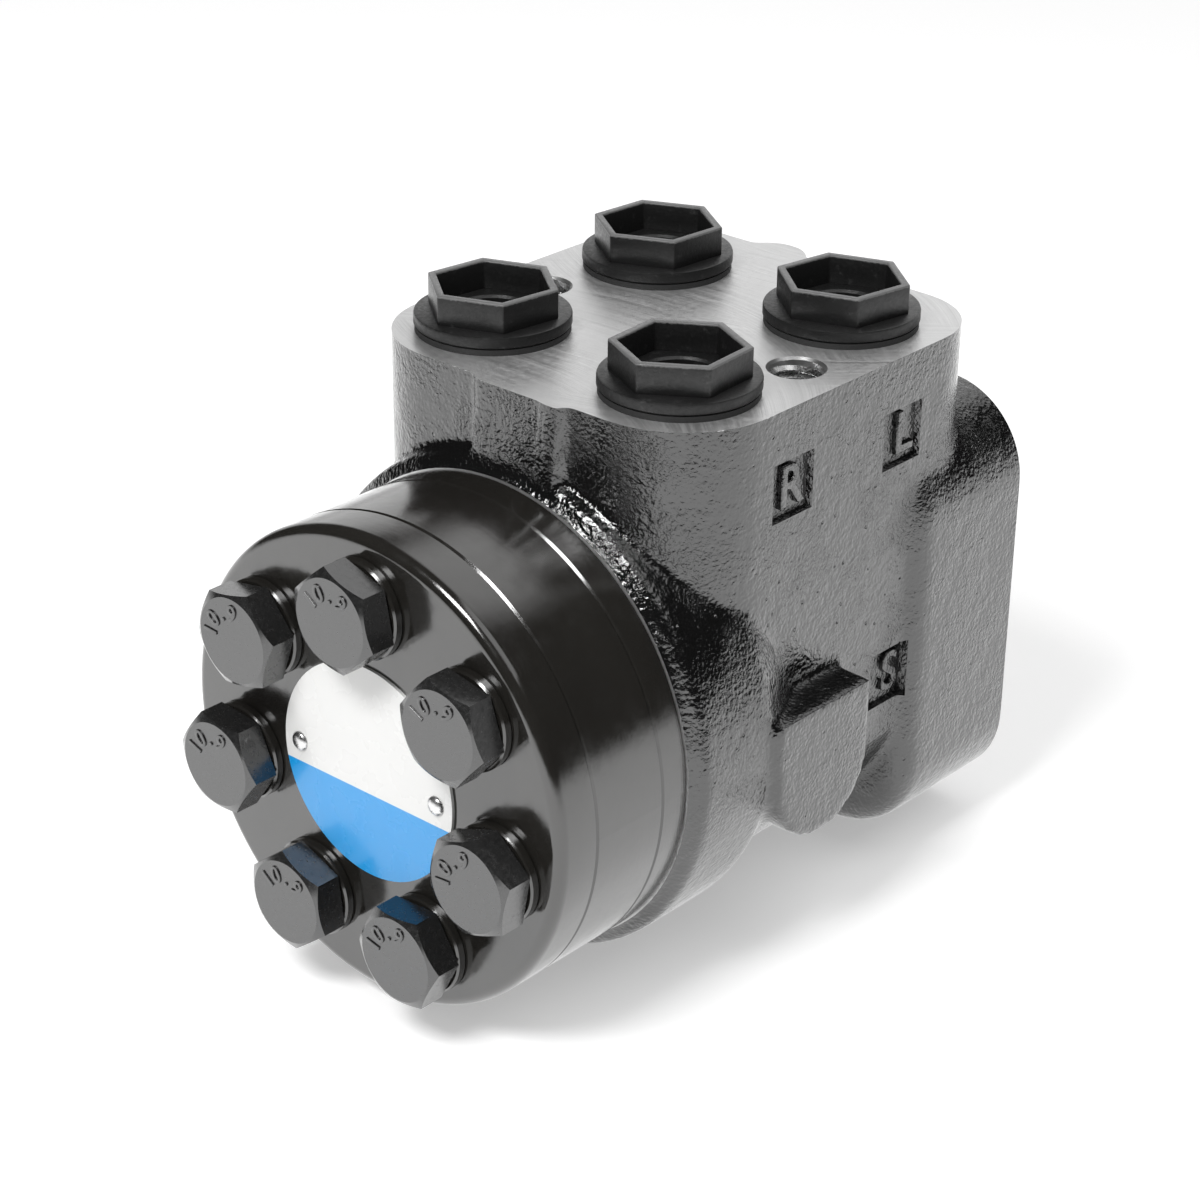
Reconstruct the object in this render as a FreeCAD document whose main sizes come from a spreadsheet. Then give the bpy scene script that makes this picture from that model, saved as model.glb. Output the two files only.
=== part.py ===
import FreeCAD, Part
import os
import Sketcher
from math import atan, atan2, cos, degrees, pi, radians, sin
from FreeCAD import Placement, Rotation, Vector

doc = FreeCAD.newDocument("orbital_steering_unit")

# Driving sizes in millimetres. Y runs along the spool axis: 0 is the column face,
# and the end cover lies at negative Y. Z points out of the port face.
SIZES = [
    ("housing_length", 100.0, "column face to the distributor plate"),
    ("plate_thickness", 6.4, "distributor plate"),
    ("ring_thickness", 16.8, "gear ring, which sets the displacement"),
    ("cover_thickness", 9.2, "end cover"),
    ("barrel_radius", 45.0, "distributor plate, gear ring and end cover"),
    ("cover_edge", 2.0, "rounding of the cover's outer edge"),
    ("disc_edge", 0.4, "broken edges of the plate and the ring"),
    ("bolt_circle", 32.0, "radius of the circle of the seven cover bolts"),
    ("bolt_radius", 5.0, "M10 thread, major radius"),
    ("bolt_clearance", 0.25, "hole round a bolt, on the radius"),
    ("thread_clearance", 0.05, "tapped hole round a bolt, on the radius"),
    ("thread_depth", 13.0, "bolt engagement in the housing"),
    ("drill_reserve", 1.5, "tapped hole beyond the bolt's end"),
    ("head_flats", 17.0, "bolt head across flats"),
    ("head_height", 6.4, "bolt head"),
    ("washer_radius", 9.2, "washer, outer"),
    ("washer_thickness", 2.0, "washer"),
    ("offset_e", 2.9, "eccentricity of the gear set"),
    ("lobe_radius", 8.0, "lobes of the gear ring round the bolt holes"),
    ("gear_clearance", 0.05, "between rotor and lobes, and on the rotor's faces"),
    ("cavity_clearance", 0.2, "between the rotor's tips and the ring's hollow"),
    ("body_radius", 44.0, "cast barrel round the spool"),
    ("collar_radius", 48.0, "round flange that takes the gear set"),
    ("collar_length", 21.0, "round flange, along Y"),
    ("collar_slope", 9.0, "blend from the round flange to the barrel"),
    ("collar_lip", 1.6, "run-out from the machined face to the cast flange"),
    ("block_half_width", 41.0, "port block, half of X"),
    ("block_setback", 4.2, "front wall of the port block, behind the gear face"),
    ("block_back", 8.6, "back wall of the port block, from the column face"),
    ("block_front_corner", 19.0, "front corners of the port block"),
    ("block_back_corner", 16.0, "back corners of the port block"),
    ("face_height", 61.2, "port face above the spool axis"),
    ("flange_half_width", 43.6, "column flange, half of X"),
    ("flange_half_height", 43.0, "column flange, half of Z"),
    ("flange_corner", 17.5, "corners of the column flange"),
    ("flange_thickness", 33.0, "column flange, along Y"),
    ("flange_blend", 5.0, "rounding of the column flange's front edge"),
    ("boss_shift", 11.9, "side boss, in front of the ports' middle"),
    ("boss_radius", 13.1, "side boss, half of its width"),
    ("boss_reach", 8.3, "side boss, out of the side wall"),
    ("boss_ledge", 6.2, "ledge on top of the side boss, above the axis"),
    ("boss_drop", 8.0, "centre of the boss's round end below the axis"),
    ("pad_reach", 3.8, "cast pad, out of the front wall"),
    ("pad_half_width", 10.5, "cast pad on the front wall, half of its width"),
    ("rib_reach", 3.8, "cast rib, out of the back wall"),
    ("rib_radius", 7.0, "cast rib on the back wall, over the relief valve"),
    ("rib_centre", 10.0, "rib on the back wall, left of the axis"),
    ("letter_recess", 12.0, "side of the recess round a port letter"),
    ("recess_depth", 1.2, "recess round a port letter"),
    ("port_half_x", 22.2, "port centres, half of their spacing along X"),
    ("port_half_y", 23.0, "port centres, half of their spacing along Y"),
    ("port_shift", 2.1, "ports' middle, in front of the port block's middle"),
    ("port_radius", 9.5, "G 1/2 port, bore at the thread's crests"),
    ("port_depth", 16.0, "port bore"),
    ("port_chamfer", 1.2, "countersink of a port"),
    ("chamber_circle", 24.6, "holes of the distributor plate, circle radius"),
    ("chamber_hole", 2.6, "holes of the distributor plate"),
    ("shaft_room", 1.0, "distributor plate round the leaning cardan shaft"),
    ("valve_height", 33.0, "relief valve above the axis"),
    ("valve_bore", 5.5, "relief valve's bore"),
    ("valve_depth", 40.0, "relief valve's bore, from the column face"),
    ("check_bore", 4.2, "check valve's bore, behind the pin bolt"),
    ("check_depth", 22.0, "check valve's bore, from the bolt's end"),
    ("check_seat_depth", 16.0, "check valve's seat, from the bolt's end"),
    ("face_hole_radius", 5.0, "M10 holes in the port face, major radius"),
    ("face_hole_depth", 15.0, "M10 holes in the port face"),
    ("face_hole_x", 30.3, "M10 holes in the port face, from the middle"),
    ("face_hole_shift", 0.5, "M10 holes in the port face, in front of the ports' middle"),
    ("column_circle", 41.25, "radius of the circle of the column bolts"),
    ("column_hole_depth", 17.0, "tapped holes in the column face"),
    ("sleeve_radius", 19.0, "outer sleeve"),
    ("spool_radius", 14.0, "inner spool"),
    ("spool_fit", 0.03, "running fit of spool, sleeve and housing bore, on the radius"),
    ("spool_bore", 10.2, "spool, round the cardan shaft"),
    ("neck_clearance", 0.5, "housing wall round the spool's neck"),
    ("sleeve_gap", 0.5, "sleeve's end to the distributor plate"),
    ("spool_gap", 1.0, "spool's end to the distributor plate"),
    ("commutator_row", 8.0, "commutator holes of the sleeve, from the gear face"),
    ("sleeve_top", 20.1, "sleeve's column end, from the column face"),
    ("bore_top", 15.0, "shoulder at the end of the spool bore, from the column face"),
    ("seal_seat_radius", 17.0, "seat of the shaft seal"),
    ("seal_seat_length", 6.0, "seat of the shaft seal, from the shoulder of the bore"),
    ("seal_lip", 0.1, "seals round the spool's neck, on the radius"),
    ("shaft_seal_width", 5.6, "shaft seal, along Y"),
    ("dust_seat_radius", 20.0, "seat of the dust seal"),
    ("dust_seat_depth", 3.5, "seat of the dust seal, from the column face"),
    ("dust_seal_width", 3.0, "dust seal, along Y"),
    ("spool_top", 1.5, "spool's column end, from the column face"),
    ("pin_place", 48.0, "cross pin, from the gear face"),
    ("pin_radius", 4.0, "cross pin"),
    ("pin_play", 0.3, "cardan fork round the cross pin"),
    ("pin_window_play", 0.25, "spool's window round the cross pin"),
    ("twist_limit", 8.0, "spool against sleeve, degrees each way"),
    ("spline_teeth", 12.0, "12 teeth 16/32"),
    ("spline_tip", 8.75, "spline, small radius of the sockets"),
    ("spline_root", 10.6, "spline, large radius of the sockets"),
    ("spline_depth", 17.0, "input spline"),
    ("spline_flank", 0.35, "flank clearance of the cardan's head"),
    ("cardan_radius", 6.8, "cardan shaft between its ends"),
    ("fork_radius", 9.0, "cardan's fork"),
    ("head_width", 9.0, "cardan's toothed head"),
    ("spacer_thickness", 3.0, "drive spacer between the cardan's head and the cover"),
    ("port_plug_flats", 22.0, "transport plug, hexagon"),
    ("port_plug_hex", 5.5, "hexagon above the plug's flange"),
    ("port_plug_wall", 1.4, "wall of the hollow hexagon"),
    ("port_plug_flange", 14.5, "radius of the plug's flange"),
    ("port_plug_rim", 2.4, "thickness of the plug's flange"),
    ("port_plug_seal", 1.1, "thickness of the seal ring under the flange"),
    ("port_plug_shank", 11.0, "plug in the port"),
    ("port_plug_play", 0.1, "plug's shank in the port, on the radius"),
    ("port_plug_well", 7.1, "radius of the plug's round well"),
    ("port_plug_well_depth", 6.0, "the plug's well, below its flange"),
    ("seal_width", 1.8, "flat seal rings, radially"),
    ("seal_height", 1.2, "flat seal rings, along Y"),
    ("seal_circle", 39.6, "middle radius of the seal rings"),
    ("plate_disc_radius", 20.6, "round plate on the cover"),
    ("plate_disc_thickness", 0.6, "round plate on the cover"),
    ("rivet_half_pitch", 16.8, "rivets of the round plate, from the middle"),
    ("rivet_radius", 1.3, "rivet's shank"),
    ("rivet_head", 1.75, "rivet's domed head, radius"),
]

sheet = doc.addObject("Spreadsheet::Sheet", "sizes")
for row, (alias, value, note) in enumerate(SIZES, start=1):
    sheet.set(f"A{row}", alias)
    sheet.set(f"B{row}", str(value))
    sheet.setAlias(f"B{row}", alias)
    sheet.set(f"C{row}", note)
doc.recompute()


def size(alias):
    return float(sheet.get(alias))


def bound(text):
    """An expression in which every alias is read from the sheet."""
    for alias, value, note in sorted(SIZES, key=lambda entry: -len(entry[0])):
        text = text.replace(f"[{alias}]", f"sizes.{alias}")
    return text


def bind(item, **expressions):
    for name, text in expressions.items():
        item.setExpression(name, bound(text))
    return item


def place(item, x="0", y="0", z="0", rotation=None):
    item.Placement = Placement(Vector(), rotation or Rotation())
    for axis, text in (("x", x), ("y", y), ("z", z)):
        if text != "0":
            item.setExpression(f"Placement.Base.{axis}", bound(text))
    return item


ALONG_Y = Rotation(Vector(1, 0, 0), -90)
ALONG_X = Rotation(Vector(0, 1, 0), 90)


def rod(name, radius, length, x="0", y="0", z="0", rotation=ALONG_Y):
    """A cylinder, along +Y unless another rotation is given, from the point x, y, z."""
    item = bind(doc.addObject("Part::Cylinder", name), Radius=radius, Height=length)
    return place(item, x, y, z, rotation)


def cone(name, radius, end_radius, length, x="0", y="0", z="0", rotation=ALONG_Y):
    item = bind(doc.addObject("Part::Cone", name), Radius1=radius, Radius2=end_radius, Height=length)
    return place(item, x, y, z, rotation)


def block(name, length, width, height, x="0", y="0", z="0", rotation=None):
    item = bind(doc.addObject("Part::Box", name), Length=length, Width=width, Height=height)
    return place(item, x, y, z, rotation)


def join(name, items):
    item = doc.addObject("Part::MultiFuse", name)
    item.Shapes = items
    item.Refine = True
    return item


def cut(name, base, tools):
    item = doc.addObject("Part::Cut", name)
    item.Base = base
    item.Tool = tools[0] if len(tools) == 1 else join(name + "_tools", tools)
    return item


def common(name, items):
    item = doc.addObject("Part::MultiCommon", name)
    item.Shapes = items
    return item


def around(count, radius, first=90.0):
    """Expressions of x and z for points spaced evenly on a circle about the Y axis."""
    for index in range(count):
        angle = first + 360.0 * index / count
        yield angle, f"({radius}) * cos({angle})", f"({radius}) * sin({angle})"


def rounded_prism(name, width, height, depth, corner, edges, x, y, z, rotation=None, end_rounding=None):
    """A padded rectangle from a sketch, its long edges rounded and, if asked for, its far end too."""
    body = doc.addObject("PartDesign::Body", name)
    sketch = body.newObject("Sketcher::SketchObject", name + "_sketch")
    plane = [item for item in body.Origin.OriginFeatures if item.Role == "XY_Plane"][0]
    sketch.AttachmentSupport = [(plane, "")]
    sketch.MapMode = "FlatFace"
    corners = [Vector(0, 0, 0), Vector(10, 0, 0), Vector(10, 10, 0), Vector(0, 10, 0)]
    for start, end in zip(corners, corners[1:] + corners[:1]):
        sketch.addGeometry(Part.LineSegment(start, end), False)
    for index in range(4):
        sketch.addConstraint(Sketcher.Constraint("Coincident", index, 2, (index + 1) % 4, 1))
    for index, kind in enumerate(("Horizontal", "Vertical", "Horizontal", "Vertical")):
        sketch.addConstraint(Sketcher.Constraint(kind, index))
    sketch.addConstraint(Sketcher.Constraint("Coincident", 0, 1, -1, 1))
    for label, index, text in (("across", 0, width), ("up", 1, height)):
        number = sketch.addConstraint(Sketcher.Constraint("Distance", index, 10.0))
        sketch.renameConstraint(number, label)
        sketch.setExpression(f"Constraints.{label}", bound(text))
    doc.recompute()
    pad = body.newObject("PartDesign::Pad", name + "_pad")
    pad.Profile = sketch
    bind(pad, Length=depth)
    doc.recompute()
    for number, (radius, wanted) in enumerate(zip(corner, edges)):
        tip = body.Tip
        names = []
        for index, edge in enumerate(tip.Shape.Edges, start=1):
            ends = [vertex.Point for vertex in edge.Vertexes]
            upright = len(ends) == 2 and abs(ends[0].z - ends[1].z) > 1.0
            if upright and wanted(edge.CenterOfMass, tip.Shape.BoundBox):
                names.append(f"Edge{index}")
        fillet = body.newObject("PartDesign::Fillet", f"{name}_fillet_{number}")
        fillet.Base = (tip, names)
        bind(fillet, Radius=radius)
        doc.recompute()
    if end_rounding:
        tip = body.Tip
        top = tip.Shape.BoundBox.ZMax
        names = [f"Edge{index}" for index, edge in enumerate(tip.Shape.Edges, start=1)
                 if min(vertex.Point.z for vertex in edge.Vertexes) > top - 0.001]
        fillet = body.newObject("PartDesign::Fillet", f"{name}_end_fillet")
        fillet.Base = (tip, names)
        bind(fillet, Radius=end_rounding)
        doc.recompute()
    return place(body, x, y, z, rotation)


# Places along Y that several pieces share, as expressions.
FACE = "-[housing_length]"
BLOCK_FRONT = "-[housing_length] + [block_setback]"
PORT_MIDDLE = "-([housing_length] - [block_setback] + [block_back]) / 2 - [port_shift]"
PLATE = "-[housing_length] - [plate_thickness]"
RING = "-[housing_length] - [plate_thickness] - [ring_thickness]"
COVER = "-[housing_length] - [plate_thickness] - [ring_thickness] - [cover_thickness]"
HOLE = "[bolt_radius] + [bolt_clearance]"
TAPPED = "[bolt_radius] + [thread_clearance]"
BOLTS = 7
CHECK_BOLT = 2
NODES = {}


def node(name, item):
    item.Label = name
    NODES[name] = item
    return item


def front_edges(middle, box):
    return middle.y < box.Center.y


def back_edges(middle, box):
    return middle.y > box.Center.y


def all_edges(middle, box):
    return True


# The housing. The port block and the barrel share the two flat side walls. Rough forms run into each
# other by the roots named here. Cutting tools start 1 mm outside the face that they cut.
BLEND_ROOT = "2"
PAD_ROOT = "5"
SEAT_ROOT = "0.5"
port_block = rounded_prism(
    "port_block", "2 * [block_half_width]", "[housing_length] - [block_setback] - [block_back]", "[face_height]",
    ("[block_front_corner]", "[block_back_corner]"), (front_edges, back_edges),
    "-[block_half_width]", BLOCK_FRONT, "0")
barrel = rod("barrel", "[body_radius]", "[housing_length] - [collar_lip]", y="-[housing_length] + [collar_lip]")
side_walls = block("side_walls", "2 * [block_half_width]", "[housing_length]", "2 * [body_radius]",
                   x="-[block_half_width]", y=FACE, z="-[body_radius]")
lower_body = common("lower_body", [barrel, side_walls])
collar_lip = cone("collar_lip_cone", "[barrel_radius]", "[collar_radius]", "[collar_lip]", y=FACE)
collar = rod("collar", "[collar_radius]", "[collar_length] - [collar_lip]", y="-[housing_length] + [collar_lip]")
collar_end = cone("collar_end", "[collar_radius]", "[body_radius] - " + BLEND_ROOT, "[collar_slope]",
                  y="-[housing_length] + [collar_length]")
column_flange = rounded_prism(
    "column_flange", "2 * [flange_half_width]", "2 * [flange_half_height]", "[flange_thickness]",
    ("[flange_corner]",), (all_edges,),
    "-[flange_half_width]", "0", "-[flange_half_height]", Rotation(Vector(1, 0, 0), 90), "[flange_blend]")
BOSS_MIDDLE = PORT_MIDDLE + " - [boss_shift]"
BOSS_LENGTH = "[block_half_width] / 2 + [boss_reach]"
boss_round = rod("boss_round", "[boss_radius]", BOSS_LENGTH,
                 x="[block_half_width] / 2", y=BOSS_MIDDLE, z="-[boss_drop]", rotation=ALONG_X)
boss_block = block("boss_block", BOSS_LENGTH, "2 * [boss_radius]", "[boss_drop] + [boss_ledge]",
                   x="[block_half_width] / 2", y=BOSS_MIDDLE + " - [boss_radius]", z="-[boss_drop]")
front_pad = block("front_pad", "2 * [pad_half_width]", "[pad_reach] + " + PAD_ROOT, "[face_height]",
                  x="-[pad_half_width]", y=BLOCK_FRONT + " - [pad_reach]")
back_rib = rod("back_rib", "[rib_radius]", "[face_height]", x="-[rib_centre]",
               y="-[block_back] - [rib_radius] + [rib_reach]", rotation=Rotation())
casting = join("casting", [port_block, lower_body, collar_lip, collar, collar_end, column_flange,
                           boss_round, boss_block, front_pad, back_rib])

bores = [
    rod("spool_bore_hollow", "[sleeve_radius] + [spool_fit]", "[housing_length] - [bore_top] + 1",
        y="-[housing_length] - 1"),
    rod("neck_hole", "[spool_radius] + [neck_clearance]", "[bore_top] + 2", y="-[bore_top] - 1"),
    rod("shaft_seal_seat", "[seal_seat_radius]", "[seal_seat_length] + " + SEAT_ROOT,
        y="-[bore_top] - " + SEAT_ROOT),
    rod("dust_seal_seat", "[dust_seat_radius]", "[dust_seat_depth] + 1", y="-[dust_seat_depth]"),
]
# Tapped holes of the cover bolts.
bolt_holes = []
drillings = []
ports = []
recesses = []
for number, (angle, x, z) in enumerate(around(BOLTS, "[bolt_circle]")):
    bolt_holes.append(rod(f"cover_tap_{number}", TAPPED, "[thread_depth] + [drill_reserve] + 1",
                          x=x, y="-[housing_length] - 1", z=z))
# Ports: side of the axis, row along the axis and turn of the plug. The casting is left solid
# between them and the spool bore.
PORTS = {"r": (1, -1, 4), "l": (1, 1, -10), "p": (-1, -1, -8), "t": (-1, 1, -5)}


def port_place(side, row):
    return f"{side} * [port_half_x]", f"{PORT_MIDDLE} + {row} * [port_half_y]"


for letter, (side, row, turn) in PORTS.items():
    x, y = port_place(side, row)
    ports.append(rod(f"port_{letter}", "[port_radius]", "[port_depth]", x=x, y=y,
                     z="[face_height] - [port_depth]", rotation=Rotation()))
    ports.append(cone(f"port_mouth_{letter}", "[port_radius]", "[port_radius] + [port_chamfer]",
                      "[port_chamfer]", x=x, y=y, z="[face_height] - [port_chamfer]", rotation=Rotation()))
for side in (-1, 1):
    x = f"{side} * [face_hole_x]"
    y = PORT_MIDDLE + " - [face_hole_shift]"
    ports.append(rod(f"face_tap_{side + 1}", "[face_hole_radius]", "[face_hole_depth] + 1", x=x, y=y,
                     z="[face_height] - [face_hole_depth]", rotation=Rotation()))
# Tapped holes of the column bolts, and the relief valve's bore between two of them.
for number, (angle, x, z) in enumerate(around(4, "[column_circle]", 45)):
    bolt_holes.append(rod(f"column_tap_{number}", "[bolt_radius]", "[column_hole_depth] + 1",
                          x=x, y="-[column_hole_depth]", z=z))
RELIEF_X = "-[rib_centre]"
RELIEF_Z = "[valve_height]"
drillings.append(rod("relief_bore", "[valve_bore]", "[valve_depth] + 1",
                     x=RELIEF_X, y="-[valve_depth]", z=RELIEF_Z))
# Check valve bore behind the pin bolt, which is at the left of the cover.
CHECK_X = f"[bolt_circle] * cos(90 + {CHECK_BOLT} * 360 / {BOLTS})"
CHECK_Z = f"[bolt_circle] * sin(90 + {CHECK_BOLT} * 360 / {BOLTS})"
drillings.append(rod("check_bore", "[check_bore]", "[check_depth]", x=CHECK_X,
                     y="-[housing_length] + [thread_depth]", z=CHECK_Z))
# Recesses round the port letters on the side wall, placed from the ports' middle and the axis. Their
# tools reach far enough out to clear the flange's rounded edge too.
LETTER_PLACES = ((-14.0, 45.8), (19.0, 45.6), (19.1, -3.4))
RECESS_REACH = "5"
for number, (y, z) in enumerate(LETTER_PLACES):
    recesses.append(block(f"letter_recess_{number}", f"[recess_depth] + {RECESS_REACH}", "[letter_recess]",
                          "[letter_recess]", x="[block_half_width] - [recess_depth]",
                          y=f"{PORT_MIDDLE} + {y} - [letter_recess] / 2", z=f"{z} - [letter_recess] / 2"))


def ring(name, outer, inner, length, x="0", y="0", z="0", rotation=ALONG_Y):
    """A plain ring along +Y, or along another axis."""
    return cut(name, rod(name + "_outer", outer, length, x, y, z, rotation),
               [rod(name + "_inner", inner, length, x, y, z, rotation)])


def seal_ring(name, y):
    return ring(name, "[seal_circle] + [seal_width] / 2", "[seal_circle] - [seal_width] / 2",
                "[seal_height]", y=y)


def hexagon(name, flats, length, x="0", y="0", z="0", rotation=ALONG_Y):
    item = doc.addObject("Part::Prism", name)
    item.Polygon = 6
    bind(item, Circumradius=f"({flats}) / 2 / cos(30)", Height=length)
    return place(item, x, y, z, rotation)


def feature(name, shape):
    item = doc.addObject("Part::Feature", name)
    item.Shape = shape
    return item


drillings.append(seal_ring("housing_seal_groove", FACE))
machined = casting
for label, tools in (("bores", bores), ("bolt_holes", bolt_holes), ("drillings", drillings),
                     ("ports", ports), ("recesses", recesses)):
    machined = cut("housing_" + label, machined, tools)
node("housing", machined)

# The gear set: plate, ring and cover, bolted to the round flange.
node("housing_seal_ring", seal_ring("housing_seal_ring", FACE))
node("plate_seal_ring", seal_ring("plate_seal_ring", PLATE))
node("cover_seal_ring", seal_ring("cover_seal_ring", RING + " - [seal_height]"))

plate_tools = [rod("plate_centre_hole", "[cardan_radius] + [offset_e] + [shaft_room]",
                   "[plate_thickness] + 2", y=PLATE + " - 1"),
               seal_ring("plate_seal_groove", PLATE)]
ring_lobes = []
ring_tools = []
cover_tools = [seal_ring("cover_seal_groove", RING + " - [seal_height]")]
for number, (angle, x, z) in enumerate(around(BOLTS, "[bolt_circle]")):
    plate_tools.append(rod(f"plate_bolt_hole_{number}", HOLE, "[plate_thickness] + 2",
                           x=x, y=PLATE + " - 1", z=z))
    ring_lobes.append(rod(f"ring_lobe_{number}", "[lobe_radius]", "[ring_thickness]", x=x, y=RING, z=z))
    ring_tools.append(rod(f"ring_bolt_hole_{number}", HOLE, "[ring_thickness] + 2", x=x, y=RING + " - 1", z=z))
    cover_tools.append(rod(f"cover_bolt_hole_{number}", HOLE, "[cover_thickness] + 2",
                           x=x, y=COVER + " - 1", z=z))
for number, (angle, x, z) in enumerate(around(BOLTS, "[chamber_circle]", 90 + 180 / BOLTS)):
    plate_tools.append(rod(f"chamber_port_{number}", "[chamber_hole]", "[plate_thickness] + 2",
                           x=x, y=PLATE + " - 1", z=z))


def disc(name, y, thickness, front="[disc_edge]"):
    """A turned disc of the barrel's radius with its two outer edges broken."""
    rear = "[disc_edge]"
    middle = rod(name + "_middle", "[barrel_radius]", f"{thickness} - {front} - {rear}", y=f"{y} + {front}")
    front_edge = cone(name + "_front_edge", f"[barrel_radius] - {front}", "[barrel_radius]", front, y=y)
    rear_edge = cone(name + "_rear_edge", "[barrel_radius]", f"[barrel_radius] - {rear}", rear,
                     y=f"{y} + {thickness} - {rear}")
    return join(name, [front_edge, middle, rear_edge])


node("distributor_plate", cut("distributor_plate_cut",
     disc("plate_blank", PLATE, "[plate_thickness]"), plate_tools))
ring_hollow = rod("ring_hollow", "[bolt_circle] - [lobe_radius] + 2 * [offset_e] + [cavity_clearance]",
                  "[ring_thickness] + 2", y=RING + " - 1")
ring_wall = cut("ring_wall", disc("ring_blank", RING, "[ring_thickness]"), [ring_hollow])
node("gear_ring", cut("gear_ring_cut", join("ring_with_lobes", [ring_wall] + ring_lobes), ring_tools))
RIVET_DEPTH = "5"
RIVET_PLAY = "0.2"
BRIM_HEIGHT = "0.4"
DOME_HEIGHT = "0.6"
DOME_TOP = "0.6 * [rivet_head]"
for side in (-1, 1):
    cover_tools.append(rod(f"rivet_hole_{side + 1}", "[rivet_radius]", RIVET_DEPTH + " + 1",
                           x=f"{side} * [rivet_half_pitch]", y=COVER + " - 1"))
# The cover's outer face has a rounded rim, turned as a flat slope and a steep one.
RIM_STEP = "0.3 * [cover_edge]"
cover_blank = join("cover_blank", [
    cone("cover_rim_outer", "[barrel_radius] - [cover_edge]", "[barrel_radius] - " + RIM_STEP, RIM_STEP,
         y=COVER),
    cone("cover_rim_inner", "[barrel_radius] - " + RIM_STEP, "[barrel_radius]", "[cover_edge] - " + RIM_STEP,
         y=COVER + " + " + RIM_STEP),
    rod("cover_middle", "[barrel_radius]", "[cover_thickness] - [cover_edge] - [disc_edge]",
        y=COVER + " + [cover_edge]"),
    cone("cover_rear_edge", "[barrel_radius]", "[barrel_radius] - [disc_edge]", "[disc_edge]",
         y=RING + " - [disc_edge]")])
node("end_cover", cut("end_cover_cut", cover_blank, cover_tools))

round_plate = rod("round_plate_disc", "[plate_disc_radius]", "[plate_disc_thickness]",
                  y=COVER + " - [plate_disc_thickness]")
rivet_holes = [rod(f"round_plate_hole_{side + 1}", "[rivet_radius]", "[plate_disc_thickness] + 2",
                   x=f"{side} * [rivet_half_pitch]", y=COVER + " - [plate_disc_thickness] - 1")
               for side in (-1, 1)]
node("round_plate", cut("round_plate_cut", round_plate, rivet_holes))
rivets = []
for side in (-1, 1):
    x = f"{side} * [rivet_half_pitch]"
    y = COVER + " - [plate_disc_thickness]"
    shank = rod(f"rivet_shank_{side + 1}", "[rivet_radius]", RIVET_DEPTH + " - " + RIVET_PLAY, x=x, y=y)
    brim = rod(f"rivet_brim_{side + 1}", "[rivet_head]", BRIM_HEIGHT, x=x, y=f"{y} - {BRIM_HEIGHT}")
    dome = cone(f"rivet_dome_{side + 1}", DOME_TOP, "[rivet_head]", DOME_HEIGHT,
                x=x, y=f"{y} - {BRIM_HEIGHT} - {DOME_HEIGHT}")
    rivets.append(join(f"rivet_{side + 1}", [shank, brim, dome]))
node("plate_rivets", join("rivet_group", rivets))

# Cover bolts and washers. The third bolt, beside the check valve, holds the check ball's pin.
HEAD_TURNS = (12, 41, 25, 8, 33, 50, 19)
CROWN_RADIUS = "0.95 * [head_flats] / 2"
CROWN_SPREAD = "1.73 * [head_height]"
HEAD = COVER + " - [washer_thickness]"
bolts = []
washers = []
for number, (angle, x, z) in enumerate(around(BOLTS, "[bolt_circle]")):
    turned = ALONG_Y.multiply(Rotation(Vector(0, 0, 1), HEAD_TURNS[number]))
    head_y = HEAD + " - [head_height]"
    head = hexagon(f"bolt_head_{number}", "[head_flats]", "[head_height]", x, head_y, z, turned)
    crown = cone(f"bolt_crown_{number}", CROWN_RADIUS, f"{CROWN_RADIUS} + {CROWN_SPREAD}", "[head_height]",
                 x, head_y, z)
    shank = rod(f"bolt_shank_{number}", "[bolt_radius]",
                "[washer_thickness] + [cover_thickness] + [ring_thickness] + [plate_thickness] + [thread_depth]",
                x, HEAD, z)
    bolt = join(f"bolt_{number}", [common(f"bolt_head_crowned_{number}", [head, crown]), shank])
    washers.append(ring(f"washer_{number}", "[washer_radius]", HOLE, "[washer_thickness]", x, HEAD, z))
    if number == CHECK_BOLT:
        node("pin_bolt", bolt)
    else:
        bolts.append(bolt)
node("cover_bolts", join("cover_bolt_group", bolts))
node("bolt_washers", join("washer_group", washers))

# Check valve behind the pin bolt: a ball between its seat and the rolled pin.
BOLT_END = "-[housing_length] + [thread_depth]"
CHECK_SEAT = "-[housing_length] + [thread_depth] + [check_seat_depth]"
CHECK_BALL = "3"
CHECK_HOLE = "2.2"
BALL_STAND = "2.1"
STOP_PIN = "1.5"
STOP_PIN_LENGTH = "7.5"
node("check_stop_pin", rod("check_stop_pin_rod", STOP_PIN, STOP_PIN_LENGTH, CHECK_X, BOLT_END, CHECK_Z))
node("check_valve_seat", ring("check_seat_ring", "[check_bore]", CHECK_HOLE,
                              "[check_depth] - [check_seat_depth]", CHECK_X, CHECK_SEAT, CHECK_Z))
ball = doc.addObject("Part::Sphere", "check_ball_sphere")
bind(ball, Radius=CHECK_BALL)
place(ball, CHECK_X, f"{CHECK_SEAT} - {BALL_STAND}", CHECK_Z)
node("check_ball", ball)

# Sleeve and spool. The sleeve has a row of commutator holes, and a row of slots for each port.
SLEEVE_END = "-[housing_length] + [sleeve_gap]"
WALL_TOOL = "[sleeve_radius] - [spool_radius] + 3"
sleeve_blank = rod("sleeve_blank", "[sleeve_radius]", "[housing_length] - [sleeve_gap] - [sleeve_top]",
                   y=SLEEVE_END)
sleeve_tools = [rod("sleeve_bore", "[spool_radius] + [spool_fit]", "[housing_length]", y=SLEEVE_END + " - 1")]


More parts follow.
